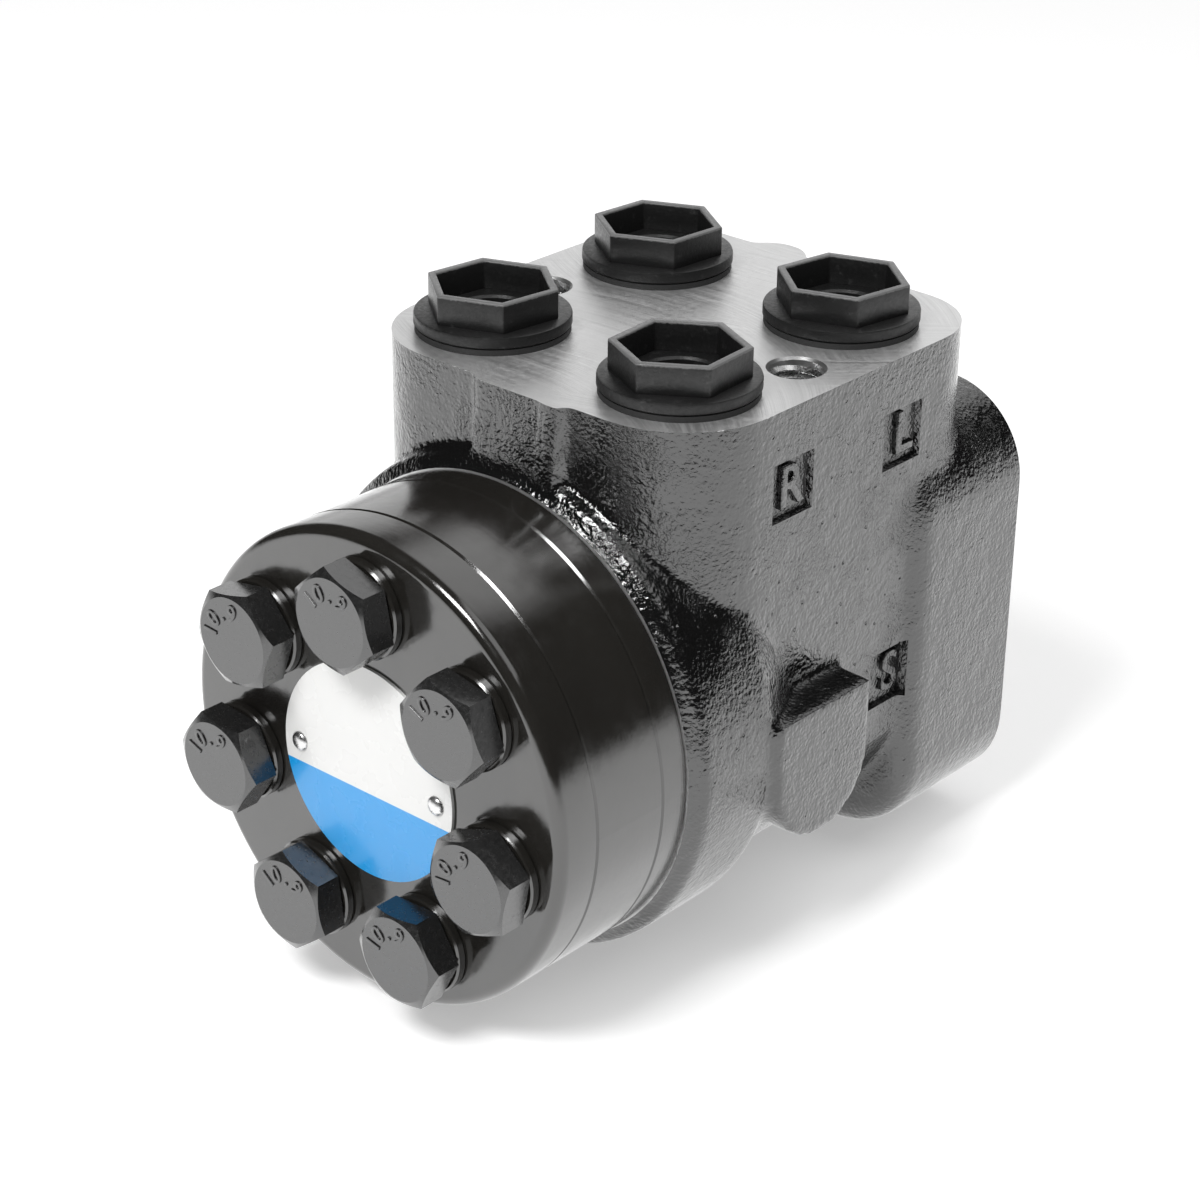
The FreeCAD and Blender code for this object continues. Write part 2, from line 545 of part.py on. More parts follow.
def row_of_holes(label, count, radius, y, first=0.0):
    holes = []
    for number in range(count):
        angle = first + 360.0 * number / count
        inward = Rotation(Vector(0, 1, 0), 90 - angle)
        holes.append(rod(f"{label}_{number}", radius, WALL_TOOL, x=f"([spool_radius] - 1) * cos({angle})", y=y,
                         z=f"([spool_radius] - 1) * sin({angle})", rotation=inward))
    return holes


COMMUTATOR_HOLES = 12
COMMUTATOR_HOLE = "1.6"
sleeve_tools += row_of_holes("commutator_hole", COMMUTATOR_HOLES, COMMUTATOR_HOLE, FACE + " + [commutator_row]")
# Rows of slots: P and R are placed from the gear face, L and T from the column face. The last
# number is the angle of the first slot.
SLOTS_IN_ROW = 6
SLOT_WIDTH = 2.4
SLOT_HEIGHT = 3.2
gear_face = -size("housing_length")
SLOT_ROWS = (
    ("p", gear_face + 19.3, 0),
    ("r", gear_face + 27.5, 30),
    ("l", -38.8, 30),
    ("t", -30.3, 0))
for letter, row_y, first in SLOT_ROWS:
    for number in range(SLOTS_IN_ROW):
        slot = block(f"sleeve_slot_{letter}_{number}", WALL_TOOL, str(SLOT_WIDTH), str(SLOT_HEIGHT))
        turn = Rotation(Vector(0, 1, 0), -first - 360.0 * number / SLOTS_IN_ROW)
        corner = Vector(size("spool_radius") - 1, -SLOT_WIDTH / 2, -SLOT_HEIGHT / 2)
        slot.Placement = Placement(Vector(0, row_y, 0), turn).multiply(Placement(corner, Rotation()))
        sleeve_tools.append(slot)
CROSS = Rotation(Vector(0, 1, 0), 90)
sleeve_tools.append(rod("sleeve_pin_hole", "[pin_radius]", "2 * [sleeve_radius] + 2",
                        x="-[sleeve_radius] - 1", y="-[housing_length] + [pin_place]", rotation=CROSS))
LEAF_WIDTH = 4.6
LEAF_THICKNESS = 0.5
LEAF_PITCH = 0.52
LEAF_COUNT = 6
LEAF_INSET = 1.2
LEAF_END = 1.1
PACK = LEAF_PITCH * (LEAF_COUNT - 1) + LEAF_THICKNESS
PACK_PLAY = 0.02
SPRING_SLOT_RUN = "8"
RING_WALL = "0.9"
RING_PLAY = "0.1"
GROOVE_MARGIN = 0.3
RING_MARGIN = 0.2
PIN_END = 0.6
LEAF_EDGE = f"-[sleeve_top] - {LEAF_INSET + LEAF_WIDTH}"
sleeve_tools.append(block("sleeve_spring_slot", "2 * [sleeve_radius] + 2", SPRING_SLOT_RUN,
                          str(PACK + 2 * PACK_PLAY), x="-[sleeve_radius] - 1", y=LEAF_EDGE,
                          z=str(-PACK / 2 - PACK_PLAY)))
sleeve_tools.append(ring("sleeve_ring_groove", "[sleeve_radius] + 1", "[sleeve_radius] - " + RING_WALL,
                         str(LEAF_WIDTH + 2 * GROOVE_MARGIN), y=f"{LEAF_EDGE} - {GROOVE_MARGIN}"))
node("sleeve", cut("sleeve_cut", sleeve_blank, sleeve_tools))
node("cross_pin", rod("cross_pin_rod", "[pin_radius]", f"2 * ([sleeve_radius] - {PIN_END})",
                      x=f"-[sleeve_radius] + {PIN_END}", y="-[housing_length] + [pin_place]", rotation=CROSS))
leaves = []
for number in range(LEAF_COUNT):
    leaves.append(block(f"leaf_{number}", f"2 * ([sleeve_radius] - {LEAF_END})", str(LEAF_WIDTH),
                        str(LEAF_THICKNESS), x=f"-[sleeve_radius] + {LEAF_END}", y=LEAF_EDGE,
                        z=str(-PACK / 2 + number * LEAF_PITCH)))
node("centring_springs", join("leaf_pack", leaves))
node("spring_ring", ring("spring_ring_body", "[sleeve_radius] - " + RING_PLAY, "[sleeve_radius] - " + RING_WALL,
                         str(LEAF_WIDTH + 2 * RING_MARGIN), y=f"{LEAF_EDGE} - {RING_MARGIN}"))

# The teeth of both spline sockets and of the cardan's head: half angles in degrees of a tooth space at
# its small and at its large radius.
SPLINE_HALF_SMALL = 9.0
SPLINE_HALF_LARGE = 6.6


def spline_shape(small, large, small_half, large_half, length):
    """A toothed prism along +Z: teeth between two radii, with half angles in degrees at each."""
    count = int(round(size("spline_teeth")))
    points = []
    for number in range(count):
        middle = 360.0 * number / count
        tooth = ((small, -small_half), (large, -large_half), (large, large_half), (small, small_half))
        for radius, angle in tooth:
            turn = radians(middle + angle)
            points.append(Vector(radius * cos(turn), radius * sin(turn), 0))
    face = Part.Face(Part.makePolygon(points + points[:1]))
    return face.extrude(Vector(0, 0, length))


def along_y(shape, x, y, z):
    shape.Placement = Placement(Vector(x, y, z), ALONG_Y)
    return shape


SPOOL_FLOOR = "7.4"
spool_blank = rod("spool_blank", "[spool_radius]", "[housing_length] - [spool_gap] - [spool_top]",
                  y=FACE + " + [spool_gap]")
spool_tools = [rod("spool_inner_bore", "[spool_bore]", "[housing_length] - [sleeve_top] - " + SPOOL_FLOOR,
                   y=FACE)]
input_spline = feature("input_spline_hollow", along_y(
    spline_shape(size("spline_tip"), size("spline_root"), SPLINE_HALF_SMALL, SPLINE_HALF_LARGE,
                 size("spline_depth") + 1),
    0, -size("spool_top") - size("spline_depth"), 0))
spool_tools.append(input_spline)
# Windows of the cross pin and of the leaf springs, cut at both ends of the spool's turn and between.
WINDOW_MARGIN = 0.1
for turn in (-1, 0, 1):
    angle = turn * size("twist_limit")
    across = Rotation(Vector(0, 1, 0), angle)
    pin_window = rod(f"pin_window_{turn + 1}", "[pin_radius] + [pin_window_play]", "2 * [spool_radius] + 4",
                     rotation=CROSS)
    reach = size("spool_radius") + 2
    pin_window.Placement = Placement(Vector(0, gear_face + size("pin_place"), 0), across).multiply(
        Placement(Vector(-reach, 0, 0), CROSS))
    window = block(f"spring_window_{turn + 1}", "2 * [spool_radius] + 4", str(LEAF_WIDTH + 2 * GROOVE_MARGIN),
                   str(PACK + 2 * WINDOW_MARGIN))
    start = -size("sleeve_top") - LEAF_INSET - LEAF_WIDTH - GROOVE_MARGIN
    window.Placement = Placement(Vector(0, start, 0), across).multiply(
        Placement(Vector(-reach, 0, -PACK / 2 - WINDOW_MARGIN), Rotation()))
    spool_tools += [pin_window, window]
# Six feeding grooves and six working grooves along the spool: start from the gear face and length.
SPOOL_GROOVES = (("feed", 4.0, 18.0), ("work", 24.0, 14.0))
GROOVES_IN_ROW = 6
GROOVE_WIDTH = 3.2
GROOVE_DEPTH = 1.3
for number in range(GROOVES_IN_ROW):
    outward = Rotation(Vector(0, 1, 0), -15 - 360.0 * number / GROOVES_IN_ROW)
    for label, start, length in SPOOL_GROOVES:
        groove = block(f"{label}_groove_{number}", str(GROOVE_DEPTH + 1), str(length), str(GROOVE_WIDTH))
        corner = Vector(size("spool_radius") - GROOVE_DEPTH, gear_face + start, -GROOVE_WIDTH / 2)
        groove.Placement = Placement(Vector(), outward).multiply(Placement(corner, Rotation()))
        spool_tools.append(groove)
node("spool", cut("spool_cut", spool_blank, spool_tools))

# Thrust bearing between the sleeve's column end and the shoulder of the bore.
RACE_OUT = "[sleeve_radius] - 0.1"
RACE_IN = "[spool_radius] + 1"
RACE = "1.5"
node("outer_bearing_race", ring("outer_race_ring", RACE_OUT, RACE_IN, RACE, y=f"-[bore_top] - {RACE}"))
node("inner_bearing_race", ring("inner_race_ring", RACE_OUT, RACE_IN, RACE, y="-[sleeve_top]"))
NEEDLE_RADIUS = 0.98
NEEDLE_LENGTH = 2.6
NEEDLE_COUNT = 14
NEEDLE_START = size("spool_radius") + 1.8
CAGE_THICKNESS = 1.4
CAGE_PLAY = 0.1
CAGE_SLOT_HALF = 1.05
needle_row = -(size("bore_top") + size("sleeve_top")) / 2
cage_windows = []
needles = []
for number in range(NEEDLE_COUNT):
    outward = Rotation(Vector(0, 1, 0), 90 - 360.0 * number / NEEDLE_COUNT)
    here = Placement(Vector(0, needle_row, 0), outward)
    needle = rod(f"needle_{number}", str(NEEDLE_RADIUS), str(NEEDLE_LENGTH))
    needle.Placement = here.multiply(Placement(Vector(0, 0, NEEDLE_START), Rotation()))
    needles.append(needle)
    slot = block(f"cage_window_{number}", str(2 * CAGE_SLOT_HALF), str(2 * CAGE_THICKNESS),
                 str(NEEDLE_LENGTH + 2 * CAGE_PLAY))
    slot.Placement = here.multiply(
        Placement(Vector(-CAGE_SLOT_HALF, -CAGE_THICKNESS, NEEDLE_START - CAGE_PLAY), Rotation()))
    cage_windows.append(slot)
cage_blank = ring("cage_blank", "[sleeve_radius] - 0.15", RACE_IN, str(CAGE_THICKNESS),
                  y=f"-([bore_top] + [sleeve_top] + {CAGE_THICKNESS}) / 2")
node("needle_cage", cut("needle_cage_cut", cage_blank, cage_windows))
node("bearing_needles", join("needle_group", needles))

# Seals at the column end.
SEAL_PLAY = "0.3"
node("shaft_seal", ring("shaft_seal_ring", "[seal_seat_radius]", "[spool_radius] + [seal_lip]",
                        "[shaft_seal_width]", y=f"-[bore_top] + {SEAL_PLAY}"))
node("dust_seal", ring("dust_seal_ring", "[dust_seat_radius]", "[spool_radius] + [seal_lip]",
                       "[dust_seal_width]", y="-[dust_seat_depth]"))


# Rotor: the inner curve of a cycloidal gear set, one lobe fewer than the ring.
def rotor_shape():
    circle = size("bolt_circle")
    lobe = size("lobe_radius") + size("gear_clearance")
    e = size("offset_e")
    points = []
    steps = 144
    for number in range(steps):
        turn = 2 * pi * number / steps
        lag = atan2(sin((1 - BOLTS) * turn), circle / (e * BOLTS) - cos((1 - BOLTS) * turn))
        x = circle * cos(turn) - lobe * cos(turn + lag) - e * cos(BOLTS * turn)
        z = -circle * sin(turn) + lobe * sin(turn + lag) + e * sin(BOLTS * turn)
        points.append(Vector(x, z, 0))
    points.append(points[0])
    arcs = [Part.Arc(points[index], points[index + 1], points[index + 2]).toShape()
            for index in range(0, steps, 2)]
    width = size("ring_thickness") - 2 * size("gear_clearance")
    body = Part.Face(Part.Wire(arcs)).extrude(Vector(0, 0, width))
    hollow = spline_shape(size("spline_tip"), size("spline_root"), SPLINE_HALF_SMALL, SPLINE_HALF_LARGE, width)
    return body.cut(hollow)


RING_Y = size("housing_length") + size("plate_thickness") + size("ring_thickness")
first_lobe = Rotation(Vector(0, 1, 0), -90)
rotor = feature("gear_rotor_solid", rotor_shape())
rotor.Placement = Placement(Vector(0, -RING_Y + size("gear_clearance"), size("offset_e")),
                            first_lobe.multiply(ALONG_Y))
node("gear_rotor", rotor)
SPACER_PLAY = "0.05"
node("drive_spacer", rod("drive_spacer_disc", f"[spline_tip] - {SPACER_PLAY}", "[spacer_thickness]",
                         y=RING + " + [gear_clearance]", z="[offset_e]"))

# Cardan shaft: forked over the cross pin, with a crowned toothed head in the rotor.
# It is built along -Y from the cross pin's centre and then tilted towards the rotor's centre.
HEAD_SHIFT = 0.6
HEAD_TIP_PLAY = 0.45
HEAD_ROOT_PLAY = 0.35
CROWN_PLAY = 0.3
CORE_STEP = 0.6
CORE_LENGTH = 1.2
CORE_STAND = 0.8
FORK_END = 7.0
FORK_FOOT = size("pin_radius") + 5.0
FORK_CONE = 3.0
OVERLAP = 0.5
FLOOR_PLAY = 0.4
Y_AXIS = Vector(0, 1, 0)
HEAD_PLACE = size("plate_thickness") + size("ring_thickness") / 2 - HEAD_SHIFT + size("pin_place")
half_head = size("head_width") / 2
flank = degrees(size("spline_flank") / ((size("spline_tip") + size("spline_root")) / 2))
head_teeth = along_y(
    spline_shape(size("spline_tip") - HEAD_TIP_PLAY, size("spline_root") - HEAD_ROOT_PLAY,
                 SPLINE_HALF_SMALL - flank, SPLINE_HALF_LARGE - flank, size("head_width")),
    0, -HEAD_PLACE - half_head, 0)
head_crown = Part.makeSphere(size("spline_root") - CROWN_PLAY, Vector(0, -HEAD_PLACE, 0))
head_core = Part.makeCylinder(size("cardan_radius") - CORE_STEP, CORE_LENGTH,
                              Vector(0, -HEAD_PLACE - half_head - CORE_STAND, 0), Y_AXIS)
shaft = Part.makeCylinder(size("cardan_radius"), HEAD_PLACE - half_head - FORK_FOOT + 2 * OVERLAP,
                          Vector(0, -HEAD_PLACE + half_head - OVERLAP, 0), Y_AXIS)
fork_foot = Part.makeCone(size("cardan_radius"), size("fork_radius"), FORK_CONE,
                          Vector(0, -FORK_FOOT + OVERLAP - FORK_CONE, 0), Y_AXIS)
fork = Part.makeCylinder(size("fork_radius"), FORK_FOOT + FORK_END, Vector(0, -FORK_FOOT + OVERLAP, 0), Y_AXIS)
slot_half = size("pin_radius") + size("pin_play")
slot_floor = slot_half + FLOOR_PLAY
fork_slot = Part.makeBox(2 * size("fork_radius") + 2, slot_floor + FORK_END + 1, 2 * slot_half,
                         Vector(-size("fork_radius") - 1, -slot_floor, -slot_half))
cardan_shape = head_teeth.common(head_crown).fuse([head_core, shaft, fork_foot, fork]).cut(fork_slot)
cardan = feature("cardan_shaft_solid", cardan_shape.removeSplitter())
TILT = degrees(atan(size("offset_e") / HEAD_PLACE))
cardan.Placement = Placement(Vector(0, gear_face + size("pin_place"), 0), Rotation(Vector(1, 0, 0), -TILT))
node("cardan_shaft", cardan)

# Relief valve in its bore behind the rib: seat, cone, spring and plug, from the inside out.
VALVE_END = "-[valve_depth]"
VALVE_SEAT = 4.0
CONE_GAP = -0.75
CONE_LENGTH = 3.0
GUIDE_LENGTH = 3.0
STEM_LENGTH = 5.0
STEM_RADIUS = 2.0
SEAT_HOLE = "2"
TIP_SMALL = "1.2"
TIP_LARGE = "4.2"
GUIDE_PLAY = "0.7"
node("relief_valve_seat", ring("relief_seat_ring", "[valve_bore]", SEAT_HOLE, str(VALVE_SEAT),
                               RELIEF_X, VALVE_END, RELIEF_Z))
cone_start = VALVE_SEAT + CONE_GAP
guide_start = cone_start + CONE_LENGTH
stem_start = guide_start + GUIDE_LENGTH
poppet = join("relief_poppet", [
    cone("relief_tip", TIP_SMALL, TIP_LARGE, str(CONE_LENGTH),
         RELIEF_X, f"{VALVE_END} + {cone_start}", RELIEF_Z),
    rod("relief_guide", f"[valve_bore] - {GUIDE_PLAY}", str(GUIDE_LENGTH),
        RELIEF_X, f"{VALVE_END} + {guide_start}", RELIEF_Z),
    rod("relief_stem", str(STEM_RADIUS), str(STEM_LENGTH), RELIEF_X, f"{VALVE_END} + {stem_start}", RELIEF_Z)])
node("relief_cone", poppet)
WIRE = 1.0
COIL_RADIUS = 3.6
COIL_LENGTH = 17.0
COIL_PITCH = 3.2
SPRING_PLAY = 0.6
helix = Part.makeHelix(COIL_PITCH, COIL_LENGTH, COIL_RADIUS)
half = WIRE / 2
square = ((-half, -half), (half, -half), (half, half), (-half, half))
corners = [Vector(COIL_RADIUS + out, 0, up) for out, up in square]
section = Part.makePolygon(corners + corners[:1])
spring = Part.Wire(helix).makePipeShell([section], True, True)
relief_spring = feature("relief_spring_coil", spring)
spring_start = -size("valve_depth") + stem_start + SPRING_PLAY
relief_spring.Placement = Placement(Vector(-size("rib_centre"), spring_start, size("valve_height")), ALONG_Y)
node("relief_spring", relief_spring)
PLUG_DEPTH = "12"
PLUG_INSET = "0.5"
KEY_FLATS = "6"
KEY_DEPTH = "5"
plug_blank = rod("relief_plug_blank", "[valve_bore]", f"{PLUG_DEPTH} - {PLUG_INSET}",
                 RELIEF_X, f"-{PLUG_DEPTH}", RELIEF_Z)
plug_socket = hexagon("relief_plug_socket", KEY_FLATS, KEY_DEPTH, RELIEF_X, f"-{KEY_DEPTH}", RELIEF_Z)
node("relief_plug", cut("relief_plug_cut", plug_blank, [plug_socket]))

# Transport plugs: a hollow hexagon on a round flange, a flat seal ring and a shank in the port.
PLUG_SEAL_INSET = "0.2"
for letter, (side, row, turn) in PORTS.items():
    x, y = port_place(side, row)
    upright = Rotation()
    turned = Rotation(Vector(0, 0, 1), turn)
    top = "[face_height] + [port_plug_seal] + [port_plug_rim]"
    cup = hexagon(f"plug_hexagon_{letter}", "[port_plug_flats]", "[port_plug_hex]", x, y, top, turned)
    rim = rod(f"plug_rim_{letter}", "[port_plug_flange]", "[port_plug_rim]", x, y,
              "[face_height] + [port_plug_seal]", upright)
    shank = rod(f"plug_shank_{letter}", "[port_radius] - [port_plug_play]",
                "[port_plug_shank] + [port_plug_seal]", x, y, "[face_height] - [port_plug_shank]", upright)
    cup_hollow = hexagon(f"plug_hollow_{letter}", "[port_plug_flats] - 2 * [port_plug_wall]",
                         "[port_plug_hex] + 1", x, y, top, turned)
    well = rod(f"plug_well_{letter}", "[port_plug_well]", "[port_plug_shank]", x, y,
               top + " - [port_plug_well_depth]", upright)
    node(f"port_plug_{letter}", cut(f"port_plug_cut_{letter}",
         join(f"plug_body_{letter}", [cup, rim, shank]), [cup_hollow, well]))
    node(f"plug_seal_{letter}", ring(f"plug_seal_ring_{letter}", f"[port_plug_flange] - {PLUG_SEAL_INSET}",
                                     "[port_radius] + [port_chamfer]", "[port_plug_seal]", x, y,
                                     "[face_height]", upright))

doc.recompute()
failed = [item.Name for item in doc.Objects if {"Invalid", "Error"} & set(item.State)]
if failed:
    raise SystemExit(f"failed objects: {failed}")
for name, item in NODES.items():
    if item.Shape.isNull() or not item.Shape.isValid() or not item.Shape.Solids:
        raise SystemExit(f"bad shape: {name}")
os.makedirs("parts", exist_ok=True)
for name, item in NODES.items():
    item.Shape.exportStep(f"parts/{name}.step")
print(f"{len(NODES)} nodes")
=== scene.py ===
from math import cos, hypot, pi, radians, sin, tan

import bmesh
import bpy
from mathutils import Matrix, Vector


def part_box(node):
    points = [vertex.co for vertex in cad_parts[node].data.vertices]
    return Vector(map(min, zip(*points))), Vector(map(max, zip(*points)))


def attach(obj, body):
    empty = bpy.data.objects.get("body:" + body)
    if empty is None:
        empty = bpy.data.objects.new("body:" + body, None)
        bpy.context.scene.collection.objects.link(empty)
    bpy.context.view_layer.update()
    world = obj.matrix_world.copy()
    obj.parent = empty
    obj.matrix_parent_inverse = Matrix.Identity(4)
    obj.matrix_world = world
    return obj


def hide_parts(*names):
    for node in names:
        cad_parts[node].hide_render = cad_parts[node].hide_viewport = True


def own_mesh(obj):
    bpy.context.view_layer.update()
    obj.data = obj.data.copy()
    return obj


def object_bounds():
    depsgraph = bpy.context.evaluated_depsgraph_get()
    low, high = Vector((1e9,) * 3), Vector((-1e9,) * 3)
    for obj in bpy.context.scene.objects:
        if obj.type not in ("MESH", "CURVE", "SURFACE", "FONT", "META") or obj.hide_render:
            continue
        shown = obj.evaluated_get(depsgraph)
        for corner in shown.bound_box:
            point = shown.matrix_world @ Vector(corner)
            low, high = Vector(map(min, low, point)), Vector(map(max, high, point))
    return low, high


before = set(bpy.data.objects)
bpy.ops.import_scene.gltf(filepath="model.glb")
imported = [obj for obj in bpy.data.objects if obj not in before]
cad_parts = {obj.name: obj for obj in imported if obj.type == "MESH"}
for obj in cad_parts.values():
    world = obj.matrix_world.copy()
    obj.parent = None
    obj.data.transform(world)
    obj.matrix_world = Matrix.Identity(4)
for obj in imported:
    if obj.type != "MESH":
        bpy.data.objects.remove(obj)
cad_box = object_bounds()

# The housing is one sand casting of grey iron: the port block, the barrel round the spool, the
# round flange for the gear set, the square column flange and the side boss. It leaves the mould
# with soft edges and a grainy skin, so the rough shapes are melted into one another here.
MM = 0.001
SAME_POINT = 1e-7
FLATNESS = 1e-6
HAIR = 1e-5
housing_low, housing_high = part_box("housing")
PORT_FACE = housing_high.z
GEAR_FACE = housing_low.y
COLUMN_FACE = housing_high.y
CAST_GRAIN = 0.85 * MM
CAST_SOFTNESS = 7
MACHINING_ALLOWANCE = 4 * MM


def bevelled(shape, edges, offset, segments):
    """Rounds a shape's edges in place."""
    bmesh.ops.bevel(shape, geom=edges, offset=offset, segments=segments, profile=0.5, affect="EDGES",
                    material=-1)


def rounded_block(low, high, along, corners=()):
    """A block whose edges along one axis are rounded: corners gives a radius and a pair of signs."""
    block = bmesh.new()
    low, high = Vector(low), Vector(high)
    spread = Matrix.Diagonal((*(high - low), 1))
    bmesh.ops.create_cube(block, size=1, matrix=Matrix.Translation((low + high) / 2) @ spread)
    across = [axis for axis in range(3) if axis != along]
    for radius, signs in corners:
        place = [high[axis] if sign > 0 else low[axis] for axis, sign in zip(across, signs)]
        edges = [edge for edge in block.edges
                 if all(abs(vert.co[axis] - at) < SAME_POINT
                        for vert in edge.verts for axis, at in zip(across, place))]
        bevelled(block, edges, radius, 10)
    return block


TURN_TO_Y = Matrix.Rotation(-pi / 2, 4, "X")
TURN_TO_X = Matrix.Rotation(pi / 2, 4, "Y")


def turned(profile, steps=96, at=(0, 0, 0), turn=Matrix(), closed=False):
    """A turned solid. The profile is radius and height, from axis to axis, or a closed ring."""
    shape = bmesh.new()
    line = [shape.verts.new((radius, 0, height)) for radius, height in profile]
    edges = [shape.edges.new(pair) for pair in zip(line, line[1:])]
    if closed:
        edges.append(shape.edges.new((line[-1], line[0])))
    bmesh.ops.spin(shape, geom=line + edges, cent=(0, 0, 0), axis=(0, 0, 1), angle=2 * pi, steps=steps,
                   use_merge=True)
    bmesh.ops.remove_doubles(shape, verts=shape.verts, dist=SAME_POINT)
    bmesh.ops.recalc_face_normals(shape, faces=shape.faces)
    bmesh.ops.transform(shape, matrix=Matrix.Translation(at) @ turn, verts=shape.verts)
    return shape


def joined(shapes):
    """One bmesh that holds several, which are used up."""
    whole = bmesh.new()
    for shape in shapes:
        mesh = bpy.data.meshes.new("part")
        shape.to_mesh(mesh)
        shape.free()
        whole.from_mesh(mesh)
        bpy.data.meshes.remove(mesh)
    return whole


def held(name, shape):
    """A bmesh as an object in the scene, for a modifier to work on."""
    mesh = bpy.data.meshes.new(name)
    shape.to_mesh(mesh)
    shape.free()
    made = bpy.data.objects.new(name, mesh)
    bpy.context.scene.collection.objects.link(made)
    return made


def settled(item, *spare):
    """The shape that an object has after its modifiers, as a bmesh. The objects are used up."""
    bpy.context.view_layer.update()
    graph = bpy.context.evaluated_depsgraph_get()
    mesh = bpy.data.meshes.new_from_object(item.evaluated_get(graph))
    shape = bmesh.new()
    shape.from_mesh(mesh)
    for used in (item, *spare):
        bpy.data.objects.remove(used)
    bpy.data.meshes.remove(mesh)
    return shape


def cut_away(shape, tools):
    """The shape less all tools, each of which is one closed bmesh or several that don't touch."""
    item = held("blank", shape)
    cutters = [held("tool", tool) for tool in tools]
    for cutter in cutters:
        boolean = item.modifiers.new("cut", "BOOLEAN")
        boolean.operation = "DIFFERENCE"
        boolean.solver = "EXACT"
        boolean.object = cutter
    return settled(item, *cutters)


BLOCK_SIDE = 41 * MM
BLOCK_FRONT = -95.8 * MM
BLOCK_BACK = -8.6 * MM
FRONT_CORNER = 19 * MM
BACK_CORNER = 16 * MM
port_block = rounded_block(
    (-BLOCK_SIDE, BLOCK_FRONT, 0), (BLOCK_SIDE, BLOCK_BACK, PORT_FACE + MACHINING_ALLOWANCE), 2,
    [(FRONT_CORNER, (-1, -1)), (FRONT_CORNER, (1, -1)), (BACK_CORNER, (-1, 1)), (BACK_CORNER, (1, 1))])

BARREL_RADIUS = 44 * MM
barrel = turned([(0, GEAR_FACE), (BARREL_RADIUS, GEAR_FACE), (BARREL_RADIUS, BLOCK_BACK), (0, BLOCK_BACK)],
                turn=TURN_TO_Y)
for side in (-1, 1):
    everything = barrel.verts[:] + barrel.edges[:] + barrel.faces[:]
    flank = bmesh.ops.bisect_plane(barrel, geom=everything, plane_co=(side * BLOCK_SIDE, 0, 0),
                                   plane_no=(side, 0, 0), clear_outer=True)
    rim = [edge for edge in flank["geom_cut"] if isinstance(edge, bmesh.types.BMEdge)]
    bmesh.ops.contextual_create(barrel, geom=rim)

COLLAR_RADIUS = 48 * MM
COLLAR_BACK = -80.4 * MM
COLLAR_FOOT = -68.5 * MM
COLLAR_FRONT = GEAR_FACE - MACHINING_ALLOWANCE
LIP_DROP = 3.2 * MM
LIP_RUN = 1.9 * MM
SHOULDER_DROP = 2 * MM
SHOULDER_RUN = 5 * MM
FOOT_SINK = 1.5 * MM
collar = turned([(0, COLLAR_FRONT), (COLLAR_RADIUS - LIP_DROP, COLLAR_FRONT),
                 (COLLAR_RADIUS - LIP_DROP, GEAR_FACE), (COLLAR_RADIUS, GEAR_FACE + LIP_RUN),
                 (COLLAR_RADIUS, COLLAR_BACK), (COLLAR_RADIUS - SHOULDER_DROP, COLLAR_BACK + SHOULDER_RUN),
                 (BARREL_RADIUS - FOOT_SINK, COLLAR_FOOT), (0, COLLAR_FOOT)], turn=TURN_TO_Y)

FLANGE_SIDE = 43.6 * MM
FLANGE_HEIGHT = 43 * MM
FLANGE_FRONT = -33 * MM
FLANGE_CORNER = 17.5 * MM
FLANGE_ROUNDING = 5 * MM
column_flange = rounded_block(
    (-FLANGE_SIDE, FLANGE_FRONT, -FLANGE_HEIGHT),
    (FLANGE_SIDE, COLUMN_FACE + MACHINING_ALLOWANCE, FLANGE_HEIGHT), 1,
    [(FLANGE_CORNER, signs) for signs in ((-1, -1), (1, -1), (-1, 1), (1, 1))])
front_rim = [edge for edge in column_flange.edges
             if all(vert.co.y < FLANGE_FRONT + SAME_POINT for vert in edge.verts)]
bevelled(column_flange, front_rim, FLANGE_ROUNDING, 6)

# The boss on the right flank ends in a half round, and its ledge falls away from the wall.
BOSS_CENTRE = Vector((0, -66.2, -8)) * MM
BOSS_RADIUS = 13.1 * MM
BOSS_TOP = BLOCK_SIDE + 8.3 * MM
BOSS_LEDGE = 7.2 * MM
BOSS_FALL = 1.8 * MM
boss_round = turned([(0, 0), (BOSS_RADIUS, 0), (BOSS_RADIUS, BOSS_TOP), (0, BOSS_TOP)],
                    at=BOSS_CENTRE, turn=TURN_TO_X)
boss_block = rounded_block((0, BOSS_CENTRE.y - BOSS_RADIUS, BOSS_CENTRE.z),
                           (BOSS_TOP, BOSS_CENTRE.y + BOSS_RADIUS, BOSS_LEDGE), 0)
outer_lip = [vert for vert in boss_block.verts if vert.co.x > BLOCK_SIDE and vert.co.z > 0]
bmesh.ops.translate(boss_block, verts=outer_lip, vec=(0, 0, -BOSS_FALL))

# A pad runs down the front wall and stands out less towards the port face. The mould's parting
# leaves a rough strip along its right edge. A rib stands over the relief valve at the back.
PAD_LEFT = -8 * MM
PAD_RIGHT = 12 * MM
PAD_FOOT = 5.4 * MM
PAD_TOP = 1.3 * MM
STRIP_WIDTH = 3.4 * MM
STRIP_PROUD = 0.5 * MM


def leaning_pad(left, right, proud):
    """A block on the front wall whose front leans back from its foot to the port face."""
    pad = rounded_block((left, BLOCK_FRONT - PAD_FOOT - proud, 0),
                        (right, BLOCK_FRONT + 5 * MM, PORT_FACE + MACHINING_ALLOWANCE), 2)
    top_edge = [vert for vert in pad.verts if vert.co.y < BLOCK_FRONT and vert.co.z > 0]
    bmesh.ops.translate(pad, verts=top_edge, vec=(0, PAD_FOOT - PAD_TOP, 0))
    return pad


